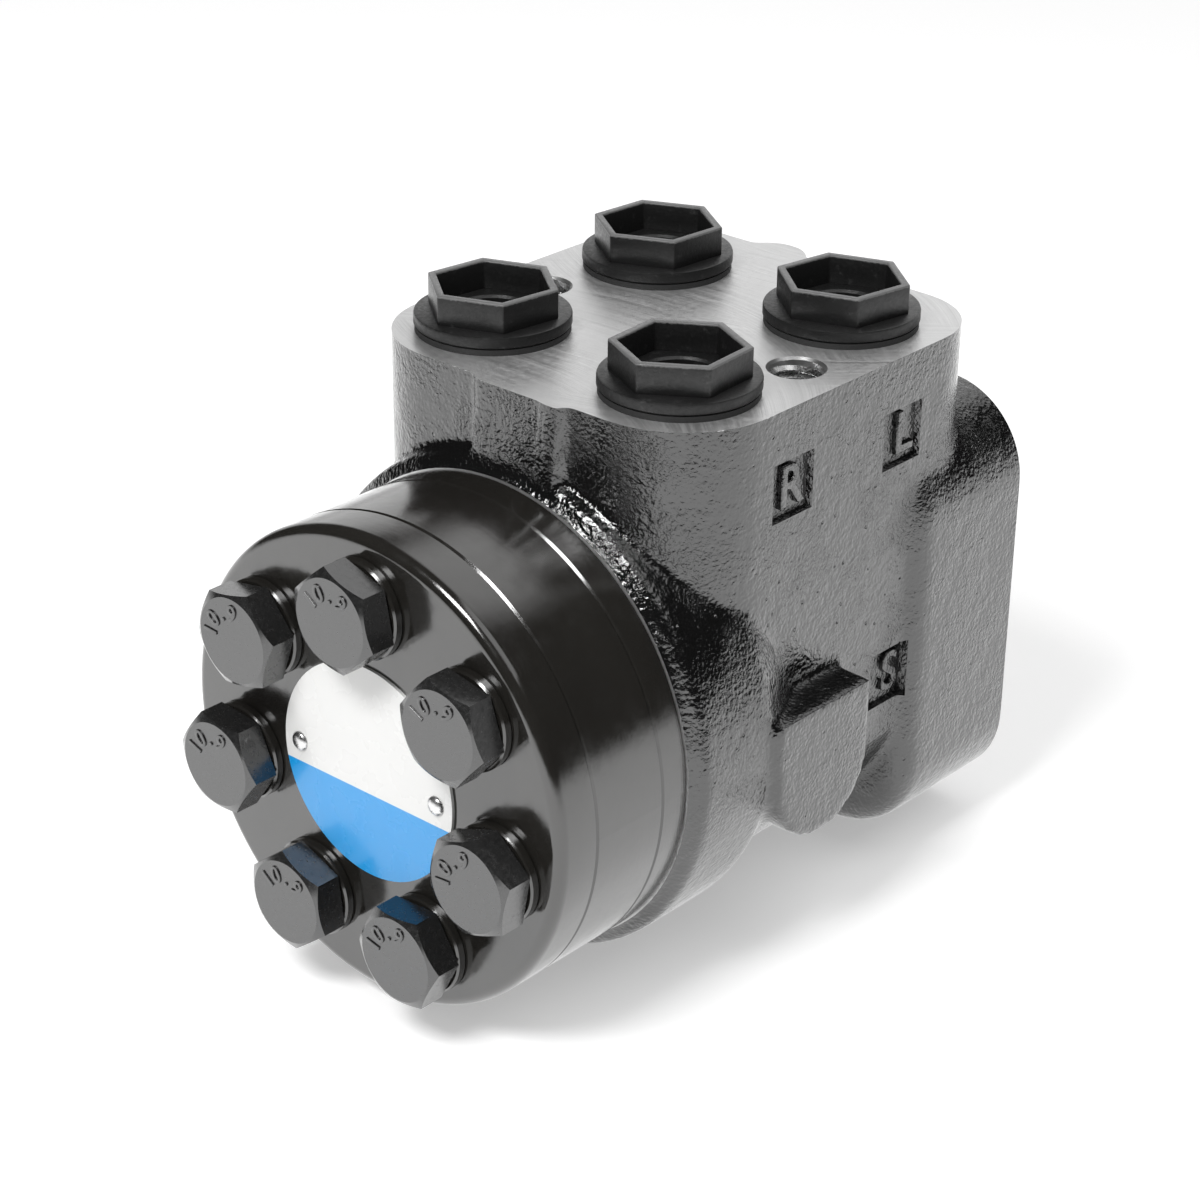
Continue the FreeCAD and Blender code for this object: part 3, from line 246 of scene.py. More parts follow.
front_pad = leaning_pad(PAD_LEFT, PAD_RIGHT, 0)
parting_line = leaning_pad(PAD_RIGHT - STRIP_WIDTH, PAD_RIGHT + 0.3 * MM, STRIP_PROUD)
RIB_RADIUS = 7 * MM
RIB_PROUD = 3.8 * MM
RIB_CENTRE = Vector((-10 * MM, BLOCK_BACK - RIB_RADIUS + RIB_PROUD, 0))
back_rib = turned([(0, 0), (RIB_RADIUS, 0), (RIB_RADIUS, PORT_FACE + MACHINING_ALLOWANCE),
                   (0, PORT_FACE + MACHINING_ALLOWANCE)], steps=32, at=RIB_CENTRE)

rough = held("rough_casting", joined([port_block, barrel, collar, column_flange, boss_round, boss_block,
                                      front_pad, parting_line, back_rib]))
melt = rough.modifiers.new("melt", "REMESH")
melt.mode = "VOXEL"
melt.voxel_size = CAST_GRAIN
soften = rough.modifiers.new("soften", "SMOOTH")
soften.factor = 0.5
soften.iterations = CAST_SOFTNESS
casting = settled(rough)

# Machining: three flat faces, the stepped spool bore, the ports, the tapped holes and the valve
# bore. The letters' recesses are cast, and have sloping walls.
FAR = 20 * MM
WIDE = 70 * MM
port_face_off = rounded_block((-WIDE, GEAR_FACE - FAR, PORT_FACE), (WIDE, FAR, PORT_FACE + FAR), 2)
ends_off = [rounded_block((-WIDE, GEAR_FACE - FAR, -WIDE), (WIDE, GEAR_FACE, WIDE), 1),
            rounded_block((-WIDE, COLUMN_FACE, -WIDE), (WIDE, COLUMN_FACE + FAR, WIDE), 1)]
SLEEVE_BORE = 19.03 * MM
BORE_END = -15 * MM
SEAL_SEAT = 17 * MM
SEAL_SEAT_END = BORE_END + 6 * MM
NECK_BORE = 14.5 * MM
DUST_SEAT = 20 * MM
DUST_SEAT_START = -3.5 * MM
spool_bore = turned([(0, GEAR_FACE - FAR), (SLEEVE_BORE, GEAR_FACE - FAR), (SLEEVE_BORE, BORE_END),
                     (SEAL_SEAT, BORE_END), (SEAL_SEAT, SEAL_SEAT_END), (NECK_BORE, SEAL_SEAT_END),
                     (NECK_BORE, DUST_SEAT_START), (DUST_SEAT, DUST_SEAT_START), (DUST_SEAT, FAR), (0, FAR)],
                    turn=TURN_TO_Y)
PORT_X = 22.2 * MM
PORT_Y = 23 * MM
PORT_MIDDLE = -54.3 * MM
PORT_RADIUS = 9.5 * MM
PORT_DEPTH = 16 * MM
PORT_CHAMFER = 1.2 * MM
PORT_PLACES = {"r": (PORT_X, PORT_MIDDLE - PORT_Y), "l": (PORT_X, PORT_MIDDLE + PORT_Y),
               "p": (-PORT_X, PORT_MIDDLE - PORT_Y), "t": (-PORT_X, PORT_MIDDLE + PORT_Y)}
holes = []
for x, y in PORT_PLACES.values():
    holes.append(turned([(0, -PORT_DEPTH), (PORT_RADIUS, -PORT_DEPTH), (PORT_RADIUS, -PORT_CHAMFER),
                         (PORT_RADIUS + PORT_CHAMFER, 0), (PORT_RADIUS + PORT_CHAMFER, MM), (0, MM)],
                        steps=64, at=(x, y, PORT_FACE)))
TAP_RADIUS = 5 * MM
TAP_COUNTERSINK = 0.5 * MM


def tapped_hole(at, depth, turn):
    """The hollow of an M10 hole with a small countersink, from a face at height 0 down."""
    return turned([(0, -depth), (TAP_RADIUS, -depth), (TAP_RADIUS, -TAP_COUNTERSINK),
                   (TAP_RADIUS + TAP_COUNTERSINK, 0), (TAP_RADIUS + TAP_COUNTERSINK, MM), (0, MM)],
                  steps=48, at=at, turn=turn)


FACE_TAP_X = 30.3 * MM
FACE_TAP_Y = -54.8 * MM
FACE_TAP_DEPTH = 15 * MM
for side in (-1, 1):
    holes.append(tapped_hole((side * FACE_TAP_X, FACE_TAP_Y, PORT_FACE), FACE_TAP_DEPTH, Matrix()))
COLUMN_CIRCLE = 41.25 * MM
COLUMN_TAP_DEPTH = 17 * MM
for quarter in range(4):
    angle = radians(45 + 90 * quarter)
    holes.append(tapped_hole((COLUMN_CIRCLE * cos(angle), COLUMN_FACE, COLUMN_CIRCLE * sin(angle)),
                             COLUMN_TAP_DEPTH, TURN_TO_Y))


def plain_hole(radius, low, high, at, steps=48):
    """The hollow of a straight hole along the spool's axis, between two heights from a place."""
    return turned([(0, low), (radius, low), (radius, high), (0, high)], steps=steps, at=at, turn=TURN_TO_Y)


BOLTS = 7
BOLT_CIRCLE = 32 * MM
BOLT_ANGLES = [radians(90 + 360 * number / BOLTS) for number in range(BOLTS)]
BOLT_PLACES = [(BOLT_CIRCLE * cos(angle), BOLT_CIRCLE * sin(angle)) for angle in BOLT_ANGLES]
COVER_TAP_DEPTH = 14.5 * MM
for x, z in BOLT_PLACES:
    holes.append(plain_hole(TAP_RADIUS + 0.05 * MM, -MM, COVER_TAP_DEPTH, (x, GEAR_FACE, z)))
RELIEF_PLACE = Vector((-10, 0, 33)) * MM
RELIEF_RADIUS = 5.5 * MM
RELIEF_DEPTH = 40 * MM
holes.append(plain_hole(RELIEF_RADIUS, -RELIEF_DEPTH, MM, RELIEF_PLACE))
LETTER_PLACES = {"R": (-68.3, 45.8), "L": (-35.3, 45.6), "S": (-35.2, -3.4)}
RECESS_SIZE = 12 * MM
RECESS_DEPTH = 1.2 * MM
RECESS_REACH = 1.0 * MM
RECESS_FLOOR = 0.86
FLANGE_RUN = -30.4 * MM
recesses = []
for y, z in LETTER_PLACES.values():
    half = RECESS_SIZE / 2
    centre = Vector((BLOCK_SIDE, min(y * MM, FLANGE_RUN - half), z * MM))
    recess = rounded_block(centre - Vector((RECESS_DEPTH, half, half)),
                           centre + Vector((RECESS_REACH, half, half)), 0)
    bottom = [vert for vert in recess.verts if vert.co.x < BLOCK_SIDE]
    bmesh.ops.scale(recess, vec=(1, RECESS_FLOOR, RECESS_FLOOR), space=Matrix.Translation(-centre),
                    verts=bottom)
    recesses.append(recess)

casting = cut_away(casting, [port_face_off, joined(ends_off), spool_bore, joined(holes), joined(recesses)])


class Signal:
    """A value on its way through a finish's nodes, which takes part in sums as a number does."""

    def __init__(self, finish, socket):
        self.finish = finish
        self.socket = socket

    def sum(self, operation, first, second):
        return self.finish.node("ShaderNodeMath", {"operation": operation}, {0: first, 1: second})

    def __add__(self, other):
        return self.sum("ADD", self, other)

    def __sub__(self, other):
        return self.sum("SUBTRACT", self, other)

    def __rsub__(self, other):
        return self.sum("SUBTRACT", other, self)

    def __mul__(self, other):
        return self.sum("MULTIPLY", self, other)

    def __pow__(self, other):
        return self.sum("POWER", self, other)

    __radd__ = __add__
    __rmul__ = __mul__


class Wiring:
    """A node tree while it is written. One method adds any node, the others are its usual uses."""

    def __init__(self, tree):
        self.tree = tree

    def node(self, kind, settings=None, sockets=None, output=0):
        made = self.tree.nodes.new(kind)
        for name, value in (settings or {}).items():
            setattr(made, name, value)
        for name, value in (sockets or {}).items():
            if isinstance(value, Signal):
                self.tree.links.new(value.socket, made.inputs[name])
            else:
                made.inputs[name].default_value = value
        return Signal(self, made.outputs[output])

    def ramp(self, value, low, high, start=0.0, end=1.0):
        """A soft step: start where value is under low, end where it is over high."""
        return self.node("ShaderNodeMapRange", {"interpolation_type": "SMOOTHSTEP"},
                         {"Value": value, "From Min": low, "From Max": high, "To Min": start, "To Max": end})

    def blend(self, mask, first, second):
        """A colour between two, by a mask."""
        return self.node("ShaderNodeMix", {"data_type": "RGBA"}, {0: mask, 6: first, 7: second}, 2)


class Finish(Wiring):
    """A material, whose patterns are laid out in millimetres over the piece."""

    def __init__(self, name):
        self.material = bpy.data.materials.new(name)
        self.material.use_nodes = True
        super().__init__(self.material.node_tree)
        self.surface = self.tree.nodes["Principled BSDF"]
        metres = self.node("ShaderNodeTexCoord", output="Object")
        self.place = self.node("ShaderNodeVectorMath", {"operation": "SCALE"}, {0: metres, "Scale": 1 / MM})

    def axes(self):
        """The place in millimetres as three numbers."""
        return [self.node("ShaderNodeSeparateXYZ", None, {0: self.place}, axis) for axis in range(3)]

    def noise(self, per_mm, detail=3.0, rough=0.5, stretch=None):
        place = self.place
        if stretch:
            place = self.node("ShaderNodeVectorMath", {"operation": "MULTIPLY"}, {0: place, 1: stretch})
        return self.node("ShaderNodeTexNoise", None,
                         {"Vector": place, "Scale": per_mm, "Detail": detail, "Roughness": rough})

    def relief(self, height, depth):
        """A bump whose height of 1 is depth in millimetres."""
        return self.node("ShaderNodeBump", None, {"Height": height, "Distance": depth * MM, "Strength": 1.0})

    def made_of(self, **values):
        """Sets the surface's sockets, whose names are written with _ for a space."""
        for name, value in values.items():
            socket = self.surface.inputs[name.replace("_", " ")]
            if isinstance(value, Signal):
                self.tree.links.new(value.socket, socket)
            else:
                socket.default_value = value
        return self.material


def grey(level, tint=(1, 1, 1)):
    """A grey of a level, or a faintly coloured one."""
    return (*(level * part for part in tint), 1)


PAINT_GLOSS = 1.8


def cast_paint():
    """Gloss black paint over sand-cast iron: the sand's grain, a few pits, and wear along the port face."""
    finish = Finish("black_paint_on_casting")
    x, y, z = finish.axes()
    sand = finish.noise(1.6, 3, 0.55)
    swell = finish.noise(0.4, 2, 0.5)
    grit = finish.node("ShaderNodeTexVoronoi", {"feature": "SMOOTH_F1"},
                       {"Vector": finish.place, "Scale": 1.1, "Smoothness": 0.6})
    cells = finish.node("ShaderNodeTexVoronoi", {"feature": "F1"}, {"Vector": finish.place, "Scale": 0.3})
    pits = finish.ramp(cells + finish.noise(1.1, 2) * 0.25, 0.15, 0.24)
    rough_patch = finish.ramp(finish.noise(0.09, 3, 0.6), 0.42, 0.62)
    edge = z - PORT_FACE / MM + finish.noise(0.35, 5, 0.75) * 1.6
    worn = finish.ramp(edge, 0.86, 0.98)
    black = finish.blend(finish.noise(0.12, 3), grey(0.003), grey(0.007))
    colour = finish.blend(worn, black, grey(0.5))
    beside_parting = finish.ramp(x, -2, 3) * finish.ramp(x, 8, 9, 1, 0) * finish.ramp(y, -93, -95)
    height = (sand * (0.6 + 0.9 * rough_patch) + swell * 1.2 + grit * 0.5 + pits * 0.9
              + finish.noise(1.1, 2, 0.5) * beside_parting * 1.2)
    return finish.made_of(Base_Color=colour, Metallic=worn,
                          Roughness=finish.ramp(finish.noise(0.8, 3), 0.3, 0.7, 0.08, 0.14),
                          IOR=PAINT_GLOSS, Normal=finish.relief(height, 0.17))


def milled_iron():
    """Bare grey iron with the arcs that a face mill leaves as it crosses."""
    finish = Finish("milled_iron")
    x, y = finish.axes()[:2]
    cutter = 62.0
    aside = x + 6.0
    reach = (cutter * cutter - aside * aside) ** 0.5
    lines = {"Scale": 0.6, "Detail": 3.0, "Roughness": 0.7}
    forward = finish.node("ShaderNodeTexNoise", {"noise_dimensions": "1D"}, {"W": y + reach, **lines}, "Fac")
    backward = finish.node("ShaderNodeTexNoise", {"noise_dimensions": "1D"}, {"W": y - reach, **lines}, "Fac")
    patches = finish.ramp(finish.noise(0.05, 2), 0.42, 0.58)
    fade = finish.ramp(finish.noise(0.08, 3, 0.6), 0.3, 0.7, 0.1, 1.0)
    marks = (forward * patches + backward * (1 - patches) - 0.5) * 7.0 * fade
    smear = finish.noise(0.8, 5, 0.7)
    streaks = finish.ramp(marks + smear * 1.6 - 0.8, -1.0, 1.0)
    colour = finish.blend(finish.noise(0.06, 4, 0.6), grey(0.5), grey(0.66))
    colour = finish.blend(streaks * 0.5, colour, grey(0.84))
    return finish.made_of(Base_Color=colour, Metallic=0.85,
                          Roughness=finish.ramp(smear + marks * 0.15, 0.2, 0.8, 0.32, 0.5),
                          Normal=finish.relief(marks * 0.4 + smear * 0.8, 0.04))


def bored_iron():
    """Darker bare iron with the fine rings of a drill or a boring bar."""
    finish = Finish("bored_iron")
    lines = finish.noise(2.2, 3, 0.6, (0.15, 1, 1))
    return finish.made_of(Base_Color=finish.blend(finish.noise(0.3, 3), grey(0.3), grey(0.46)), Metallic=0.9,
                          Roughness=finish.ramp(lines, 0.2, 0.8, 0.28, 0.44),
                          Normal=finish.relief(lines, 0.03))


def piece(name, shape, finishes, body, stands_for=(), sharp=32):
    """A finished mesh in its place, which rides on a body and takes over from the CAD nodes named."""
    made = held(name, shape)
    for finish in finishes:
        made.data.materials.append(finish)
    made.data.polygons.foreach_set("use_smooth", [True] * len(made.data.polygons))
    made.data.set_sharp_from_angle(angle=radians(sharp))
    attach(made, body)
    if stands_for:
        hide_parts(*stands_for)
    return made


def skin_of(face):
    """0 for the painted cast skin, 1 for the three machined faces, 2 for the bores."""
    x, y, z = face.calc_center_median()
    if ((abs(z - PORT_FACE) < FLATNESS and face.normal.z > 0.99)
            or (abs(y - GEAR_FACE) < FLATNESS and face.normal.y < -0.99)
            or (abs(y - COLUMN_FACE) < FLATNESS and face.normal.y > 0.99)):
        return 1
    port = PORT_RADIUS + PORT_CHAMFER + HAIR
    tap = TAP_RADIUS + TAP_COUNTERSINK + HAIR
    cover_tap = TAP_RADIUS + 0.1 * MM
    column_tap = COLUMN_CIRCLE * cos(pi / 4)
    in_bore = hypot(x, z) < DUST_SEAT + HAIR and z < PORT_FACE - 2 * PORT_DEPTH
    in_port = z > PORT_FACE - PORT_DEPTH - HAIR and any(
        hypot(x - port_x, y - port_y) < port for port_x, port_y in PORT_PLACES.values())
    in_face_tap = z > 40 * MM and hypot(abs(x) - FACE_TAP_X, y - FACE_TAP_Y) < tap
    in_column_tap = y > -COLUMN_TAP_DEPTH - MM and hypot(abs(x) - column_tap, abs(z) - column_tap) < tap
    in_cover_tap = y < GEAR_FACE + COVER_TAP_DEPTH + HAIR and any(
        hypot(x - bolt_x, z - bolt_z) < cover_tap for bolt_x, bolt_z in BOLT_PLACES)
    in_relief = (y > -RELIEF_DEPTH - MM
                 and hypot(x - RELIEF_PLACE.x, z - RELIEF_PLACE.z) < RELIEF_RADIUS + 0.1 * MM)
    inside = in_bore or in_port or in_face_tap or in_column_tap or in_cover_tap or in_relief
    return 2 if inside else 0


casting.normal_update()
for face in casting.faces:
    face.material_index = skin_of(face)
milled = milled_iron()
bored = bored_iron()
casting_paint = cast_paint()
piece("cast_housing", casting, [casting_paint, milled, bored], "housing_body", ["housing"], 40)

# The letters by the ports stand up from their recesses, cast with the housing and half drowned in paint.
LETTER_HEIGHT = 8.2 * MM
LETTER_RISE = 0.9 * MM
LETTER_ROUNDING = 0.3 * MM
FACING_RIGHT = Matrix(((0, 0, 1), (1, 0, 0), (0, 1, 0))).to_4x4()


def letters_on(text, height, rise, rounding, turn):
    """Plain characters as a mesh, centred on their own middle, standing rise above the face."""
    curve = bpy.data.curves.new("letter", "FONT")
    curve.body = text
    curve.size = height * 1.37
    curve.align_x = "CENTER"
    curve.align_y = "CENTER"
    curve.extrude = rise / 2
    curve.bevel_depth = rounding
    curve.bevel_resolution = 2
    curve.resolution_u = 6
    item = bpy.data.objects.new("letter", curve)
    bpy.context.scene.collection.objects.link(item)
    shape = settled(item)
    bpy.data.curves.remove(curve)
    bmesh.ops.remove_doubles(shape, verts=shape.verts, dist=FLATNESS)
    bmesh.ops.transform(shape, matrix=turn, verts=shape.verts)
    return shape


raised = []
for letter, (y, z) in LETTER_PLACES.items():
    place = Matrix.Translation((BLOCK_SIDE - RECESS_DEPTH + LETTER_RISE / 2 - 0.1 * MM, y * MM, z * MM))
    raised.append(letters_on(letter, LETTER_HEIGHT, LETTER_RISE - 0.4 * MM, LETTER_ROUNDING,
                             place @ FACING_RIGHT))
piece("port_letters", joined(raised), [casting_paint], "housing_body", sharp=60)

# The M10 threads in the port face show bright at their mouths. Each is a ridge that winds down the hole.
THREAD_PITCH = 1.5 * MM
THREAD_TURNS = 8
THREAD_STEPS = 40
THREAD_TIP = TAP_RADIUS - 0.85 * MM
THREAD_ROOT = TAP_RADIUS + 0.04 * MM
THREAD_BOTTOM = PORT_FACE - THREAD_TURNS * THREAD_PITCH - 2.0 * MM


def scuffed_steel(name, scale, dark, light, shine, depth):
    """Bright bare steel with small scuffs."""
    finish = Finish(name)
    scuffs = finish.noise(scale, 4, 0.6)
    return finish.made_of(Base_Color=finish.blend(scuffs, grey(dark), grey(light)), Metallic=1.0,
                          Roughness=finish.ramp(scuffs, 0.3, 0.7, shine, shine + 0.14),
                          Normal=finish.relief(scuffs, depth))


def wound(section, axis, steps_in_turn, steps, rise):
    """A section of points that winds round an axis in so many steps and rises evenly."""
    shape = bmesh.new()
    face = shape.faces.new([shape.verts.new(point) for point in section])
    bmesh.ops.spin(shape, geom=[face], cent=(0, 0, 0), axis=axis, angle=2 * pi * steps / steps_in_turn,
                   steps=steps, dvec=Vector(axis) * (rise / steps))
    bmesh.ops.recalc_face_normals(shape, faces=shape.faces)
    return shape


threads = []
for side in (-1, 1):
    ridge = wound([(THREAD_ROOT, 0, 0), (THREAD_TIP, 0, 0.62 * MM), (THREAD_TIP, 0, 0.82 * MM),
                   (THREAD_ROOT, 0, 1.44 * MM)],
                  (0, 0, 1), THREAD_STEPS, THREAD_STEPS * THREAD_TURNS, THREAD_TURNS * THREAD_PITCH)
    bmesh.ops.translate(ridge, verts=ridge.verts, vec=(side * FACE_TAP_X, FACE_TAP_Y, THREAD_BOTTOM))
    threads.append(ridge)
bright_thread = scuffed_steel("bright_cut_thread", 1.8, 0.5, 0.75, 0.2, 0.02)
piece("face_hole_threads", joined(threads), [bright_thread], "housing_body", sharp=40)

# Spool, sleeve and their bearing, valves, rotor and shaft are ground or turned steel. They keep the
# solids' own shapes, and only the splined end and the seals round it can be seen.


def ground_steel(name, dark, light, shine):
    """Steel with fine lines round the spool's axis."""
    finish = Finish(name)
    lines = finish.noise(3.0, 4, 0.6, (0.2, 2.5, 0.2))
    colour = finish.blend(finish.noise(0.25, 3), grey(dark), grey(light))
    return finish.made_of(Base_Color=colour, Metallic=1.0,
                          Roughness=finish.ramp(lines, 0.25, 0.75, shine, shine + 0.14),
                          Normal=finish.relief(lines, 0.012))


def soft_rubber():
    """Dull black rubber with a fine skin."""
    finish = Finish("seal_rubber")
    skin = finish.noise(2.5, 3)
    return finish.made_of(Base_Color=finish.blend(skin, grey(0.012), grey(0.022)),
                          Roughness=finish.ramp(skin, 0.3, 0.7, 0.5, 0.68),
                          Normal=finish.relief(skin, 0.02))


def give(finish, *names):
    """Puts a finish on CAD nodes that keep their own shape."""
    for name in names:
        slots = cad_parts[name].data.materials
        slots.clear()
        slots.append(finish)


give(ground_steel("ground_steel", 0.5, 0.62, 0.22), "sleeve", "spool", "cross_pin", "spring_ring",
     "needle_cage", "bearing_needles", "inner_bearing_race", "outer_bearing_race", "check_stop_pin",
     "check_ball", "check_valve_seat", "relief_valve_seat", "relief_cone", "gear_rotor", "cardan_shaft",
     "drive_spacer", "relief_plug")
blued = ground_steel("blued_spring_steel", 0.2, 0.3, 0.3)
give(blued, "centring_springs")
rubber = soft_rubber()
give(rubber, "shaft_seal", "dust_seal", "housing_seal_ring", "plate_seal_ring", "cover_seal_ring")

# The relief valve's spring is wound from round wire. It rides on the housing, and its end at the plug stays.
WIRE = 0.5 * MM
COIL_PITCH = 3.2 * MM
COIL_STEPS = 24
coil_low, coil_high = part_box("relief_spring")
coil_middle = (coil_low + coil_high) / 2
coil_reach = (coil_high.x - coil_low.x) / 2 - WIRE
coil_run = coil_high.y - coil_low.y - 2 * WIRE
wire_angles = [2 * pi * step / 12 for step in range(12)]
coil = wound([(coil_reach + WIRE * cos(angle), WIRE * sin(angle), 0) for angle in wire_angles],
             (0, 1, 0), COIL_STEPS, round(coil_run / COIL_PITCH * COIL_STEPS), coil_run)
bmesh.ops.translate(coil, verts=coil.verts, vec=(coil_middle.x, coil_low.y + WIRE, coil_middle.z))
spring = piece("wound_relief_spring", coil, [blued], "housing_body", ["relief_spring"], 60)
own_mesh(spring)

# The distributor plate and the gear ring are turned steel discs in gloss black. Their edges are
# only broken, so that a fine line shows at each joint.
WARM = (1, 0.93, 0.82)


def turned_paint():
    """Gloss black over turned steel: fine turning marks show through, with a little dust."""
    finish = Finish("black_paint_on_steel")
    marks = finish.noise(1.0, 4, 0.6, (0.05, 4.0, 0.05))
    peel = finish.noise(0.35, 3)
    dust = finish.ramp(finish.noise(0.9, 4, 0.75), 0.72, 0.8)
    colour = finish.blend(finish.noise(0.05, 3), grey(0.01, WARM), grey(0.02, WARM))
    colour = finish.blend(dust, colour, grey(0.12))
    return finish.made_of(Base_Color=colour, Roughness=finish.ramp(peel + dust, 0.3, 1.0, 0.12, 0.26),
                          IOR=PAINT_GLOSS, Normal=finish.relief(marks * 0.8 + peel * 1.6, 0.016))


steel_paint = turned_paint()
give(steel_paint, "distributor_plate", "gear_ring")

# The end cover closes the gear set. Its rim is rounded, and seven holes take the bolts.
cover_low, cover_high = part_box("end_cover")
COVER_RADIUS = cover_high.x
COVER_RIM = 2.2 * MM
COVER_BREAK = 0.4 * MM
BOLT_HOLE = 5.25 * MM
COVER_CUT = 12 * MM
rim_steps = 8
cover_profile = [(0, cover_low.y), (COVER_RADIUS - COVER_RIM, cover_low.y)]
for step in range(1, rim_steps + 1):
    angle = pi / 2 * step / rim_steps
    cover_profile.append((COVER_RADIUS - COVER_RIM + COVER_RIM * sin(angle),
                          cover_low.y + COVER_RIM - COVER_RIM * cos(angle)))
cover_profile += [(COVER_RADIUS, cover_high.y - COVER_BREAK), (COVER_RADIUS - COVER_BREAK, cover_high.y),
                  (0, cover_high.y)]
cover_holes = joined([plain_hole(BOLT_HOLE, -MM, COVER_CUT, (x, cover_low.y, z), 40) for x, z in BOLT_PLACES])
piece("turned_end_cover", cut_away(turned(cover_profile, steps=192, turn=TURN_TO_Y), [cover_holes]),
      [steel_paint], "housing_body", ["end_cover"], 30)

# Seven M10 bolts clamp the gear set. The heads are forged, with a chamfered crown, a washer face
# and the strength class in raised figures, and each sits on a thick washer. The third of them,
# counted from the top towards the left, keeps the check ball's pin.
washer_low, washer_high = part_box("bolt_washers")
bolt_low, bolt_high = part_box("cover_bolts")
HEAD_FLATS = 17 * MM
HEAD_TOP = 0.95 * HEAD_FLATS / 2
HEAD_SEAT = washer_low.y
HEAD_HEIGHT = HEAD_SEAT - bolt_low.y
CROWN_SLOPE = tan(radians(30))
WASHER_FACE = 0.5 * MM
WASHER_FACE_RADIUS = 8.0 * MM
SHANK_RADIUS = 4.9 * MM
SHANK_CHAMFER = 0.5 * MM
BOLT_TURNS = (12, 41, 25, 8, 33, 50, 19)
BOLT_LENGTH = bolt_high.y - HEAD_SEAT


def hexagon_reach(angle, flats):
    """From the middle of a hexagon to its outline, in a direction."""
    return flats / 2 / cos((angle + pi / 6) % (pi / 3) - pi / 6)


def bolt_head():
    """A hexagon head that stands on height 0, with its crown up."""
    head = bmesh.new()
    bmesh.ops.create_circle(head, cap_ends=True, segments=72, radius=HEAD_FLATS / 2)
    for vert in head.verts:
        angle = Vector((1, 0)).angle_signed(vert.co.xy, 0) if vert.co.xy.length else 0
        reach = hexagon_reach(-angle, HEAD_FLATS)
        vert.co = vert.co.normalized() * reach
    bmesh.ops.translate(head, verts=head.verts, vec=(0, 0, WASHER_FACE))
    base = head.faces[:]
    made = bmesh.ops.extrude_face_region(head, geom=base)
    rim = [vert for vert in made["geom"] if isinstance(vert, bmesh.types.BMVert)]
    for vert in rim:
        vert.co.z = HEAD_HEIGHT - max(0, vert.co.xy.length - HEAD_TOP) * CROWN_SLOPE
    crown = [face for face in made["geom"] if isinstance(face, bmesh.types.BMFace)]
    inner = bmesh.ops.extrude_face_region(head, geom=crown)
    bmesh.ops.delete(head, geom=crown, context="FACES_ONLY")
    for vert in inner["geom"]:
        if isinstance(vert, bmesh.types.BMVert):
            vert.co = Vector((*(vert.co.xy.normalized() * HEAD_TOP), HEAD_HEIGHT))
    bmesh.ops.remove_doubles(head, verts=head.verts, dist=2e-5)
    bmesh.ops.recalc_face_normals(head, faces=head.faces)
    return head


def bolt_shank():
    """The shank below height 0, and the round washer face just above it."""
    top = WASHER_FACE + 0.1 * MM
    return turned([(0, -BOLT_LENGTH), (SHANK_RADIUS - SHANK_CHAMFER, -BOLT_LENGTH),
                   (SHANK_RADIUS, -BOLT_LENGTH + SHANK_CHAMFER), (SHANK_RADIUS, 0),
                   (WASHER_FACE_RADIUS - 0.1 * MM, 0), (WASHER_FACE_RADIUS, 0.12 * MM),
                   (WASHER_FACE_RADIUS, top), (0, top)], steps=48)


FIGURE_HEIGHT = 3.3 * MM
FIGURE_RISE = 0.3 * MM
FIGURE_ROUNDING = 0.1 * MM
FIGURE_CIRCLE = 5.2 * MM
FIGURE_STEP = radians(30)


def strength_class():
    """The figures 10.9, set round the edge of the crown."""
    figures = []
    for place, figure in enumerate("10.9"):
        turn = Matrix.Rotation((1.5 - place) * FIGURE_STEP, 4, "Z")
        at = Matrix.Translation((0, FIGURE_CIRCLE, HEAD_HEIGHT + 0.02 * MM))
        figures.append(letters_on(figure, FIGURE_HEIGHT, FIGURE_RISE, FIGURE_ROUNDING, turn @ at))
    return figures


CROWN_TO_FRONT = Matrix.Rotation(pi / 2, 4, "X")


def black_bolt_steel():
    """Blackened forged steel, dull on the crown and a little brighter where a wrench has rubbed."""
    finish = Finish("blackened_bolt_steel")
    scale = finish.noise(1.3, 3, 0.5)
    swell = finish.noise(0.3, 2)
    rub = finish.ramp(finish.noise(0.8, 5, 0.7), 0.62, 0.78)
    colour = finish.blend(scale, grey(0.01), grey(0.02))
    colour = finish.blend(rub * 0.4, colour, grey(0.08))
    return finish.made_of(Base_Color=colour, Roughness=finish.ramp(scale, 0.3, 0.7, 0.18, 0.28),
                          IOR=PAINT_GLOSS, Normal=finish.relief(scale * 0.5 + swell * 2.0, 0.01))


bolt_steel = black_bolt_steel()
bolts = []
washers = []
WASHER_RADIUS = 9.2 * MM
WASHER_HEIGHT = washer_high.y - washer_low.y
WASHER_EDGE = 0.35 * MM
CHECK_BOLT = 2
for (x, z), degrees in zip(BOLT_PLACES, BOLT_TURNS):
    at = Matrix.Translation((x, HEAD_SEAT, z))
    bolt = joined([bolt_head(), bolt_shank()] + strength_class())
    turn = Matrix.Rotation(radians(degrees), 4, "Z")
    bmesh.ops.transform(bolt, matrix=at @ CROWN_TO_FRONT @ turn, verts=bolt.verts)
    bolts.append(bolt)
    washers.append(turned([(BOLT_HOLE, 0), (WASHER_RADIUS - WASHER_EDGE, 0), (WASHER_RADIUS, WASHER_EDGE),
                           (WASHER_RADIUS, WASHER_HEIGHT - WASHER_EDGE),
                           (WASHER_RADIUS - WASHER_EDGE, WASHER_HEIGHT), (BOLT_HOLE, WASHER_HEIGHT)],
                          steps=64, closed=True, at=at.translation, turn=TURN_TO_Y))
pin_bolt = bolts.pop(CHECK_BOLT)
piece("forged_cover_bolts", joined(bolts), [bolt_steel], "housing_body", ["cover_bolts"], 20)
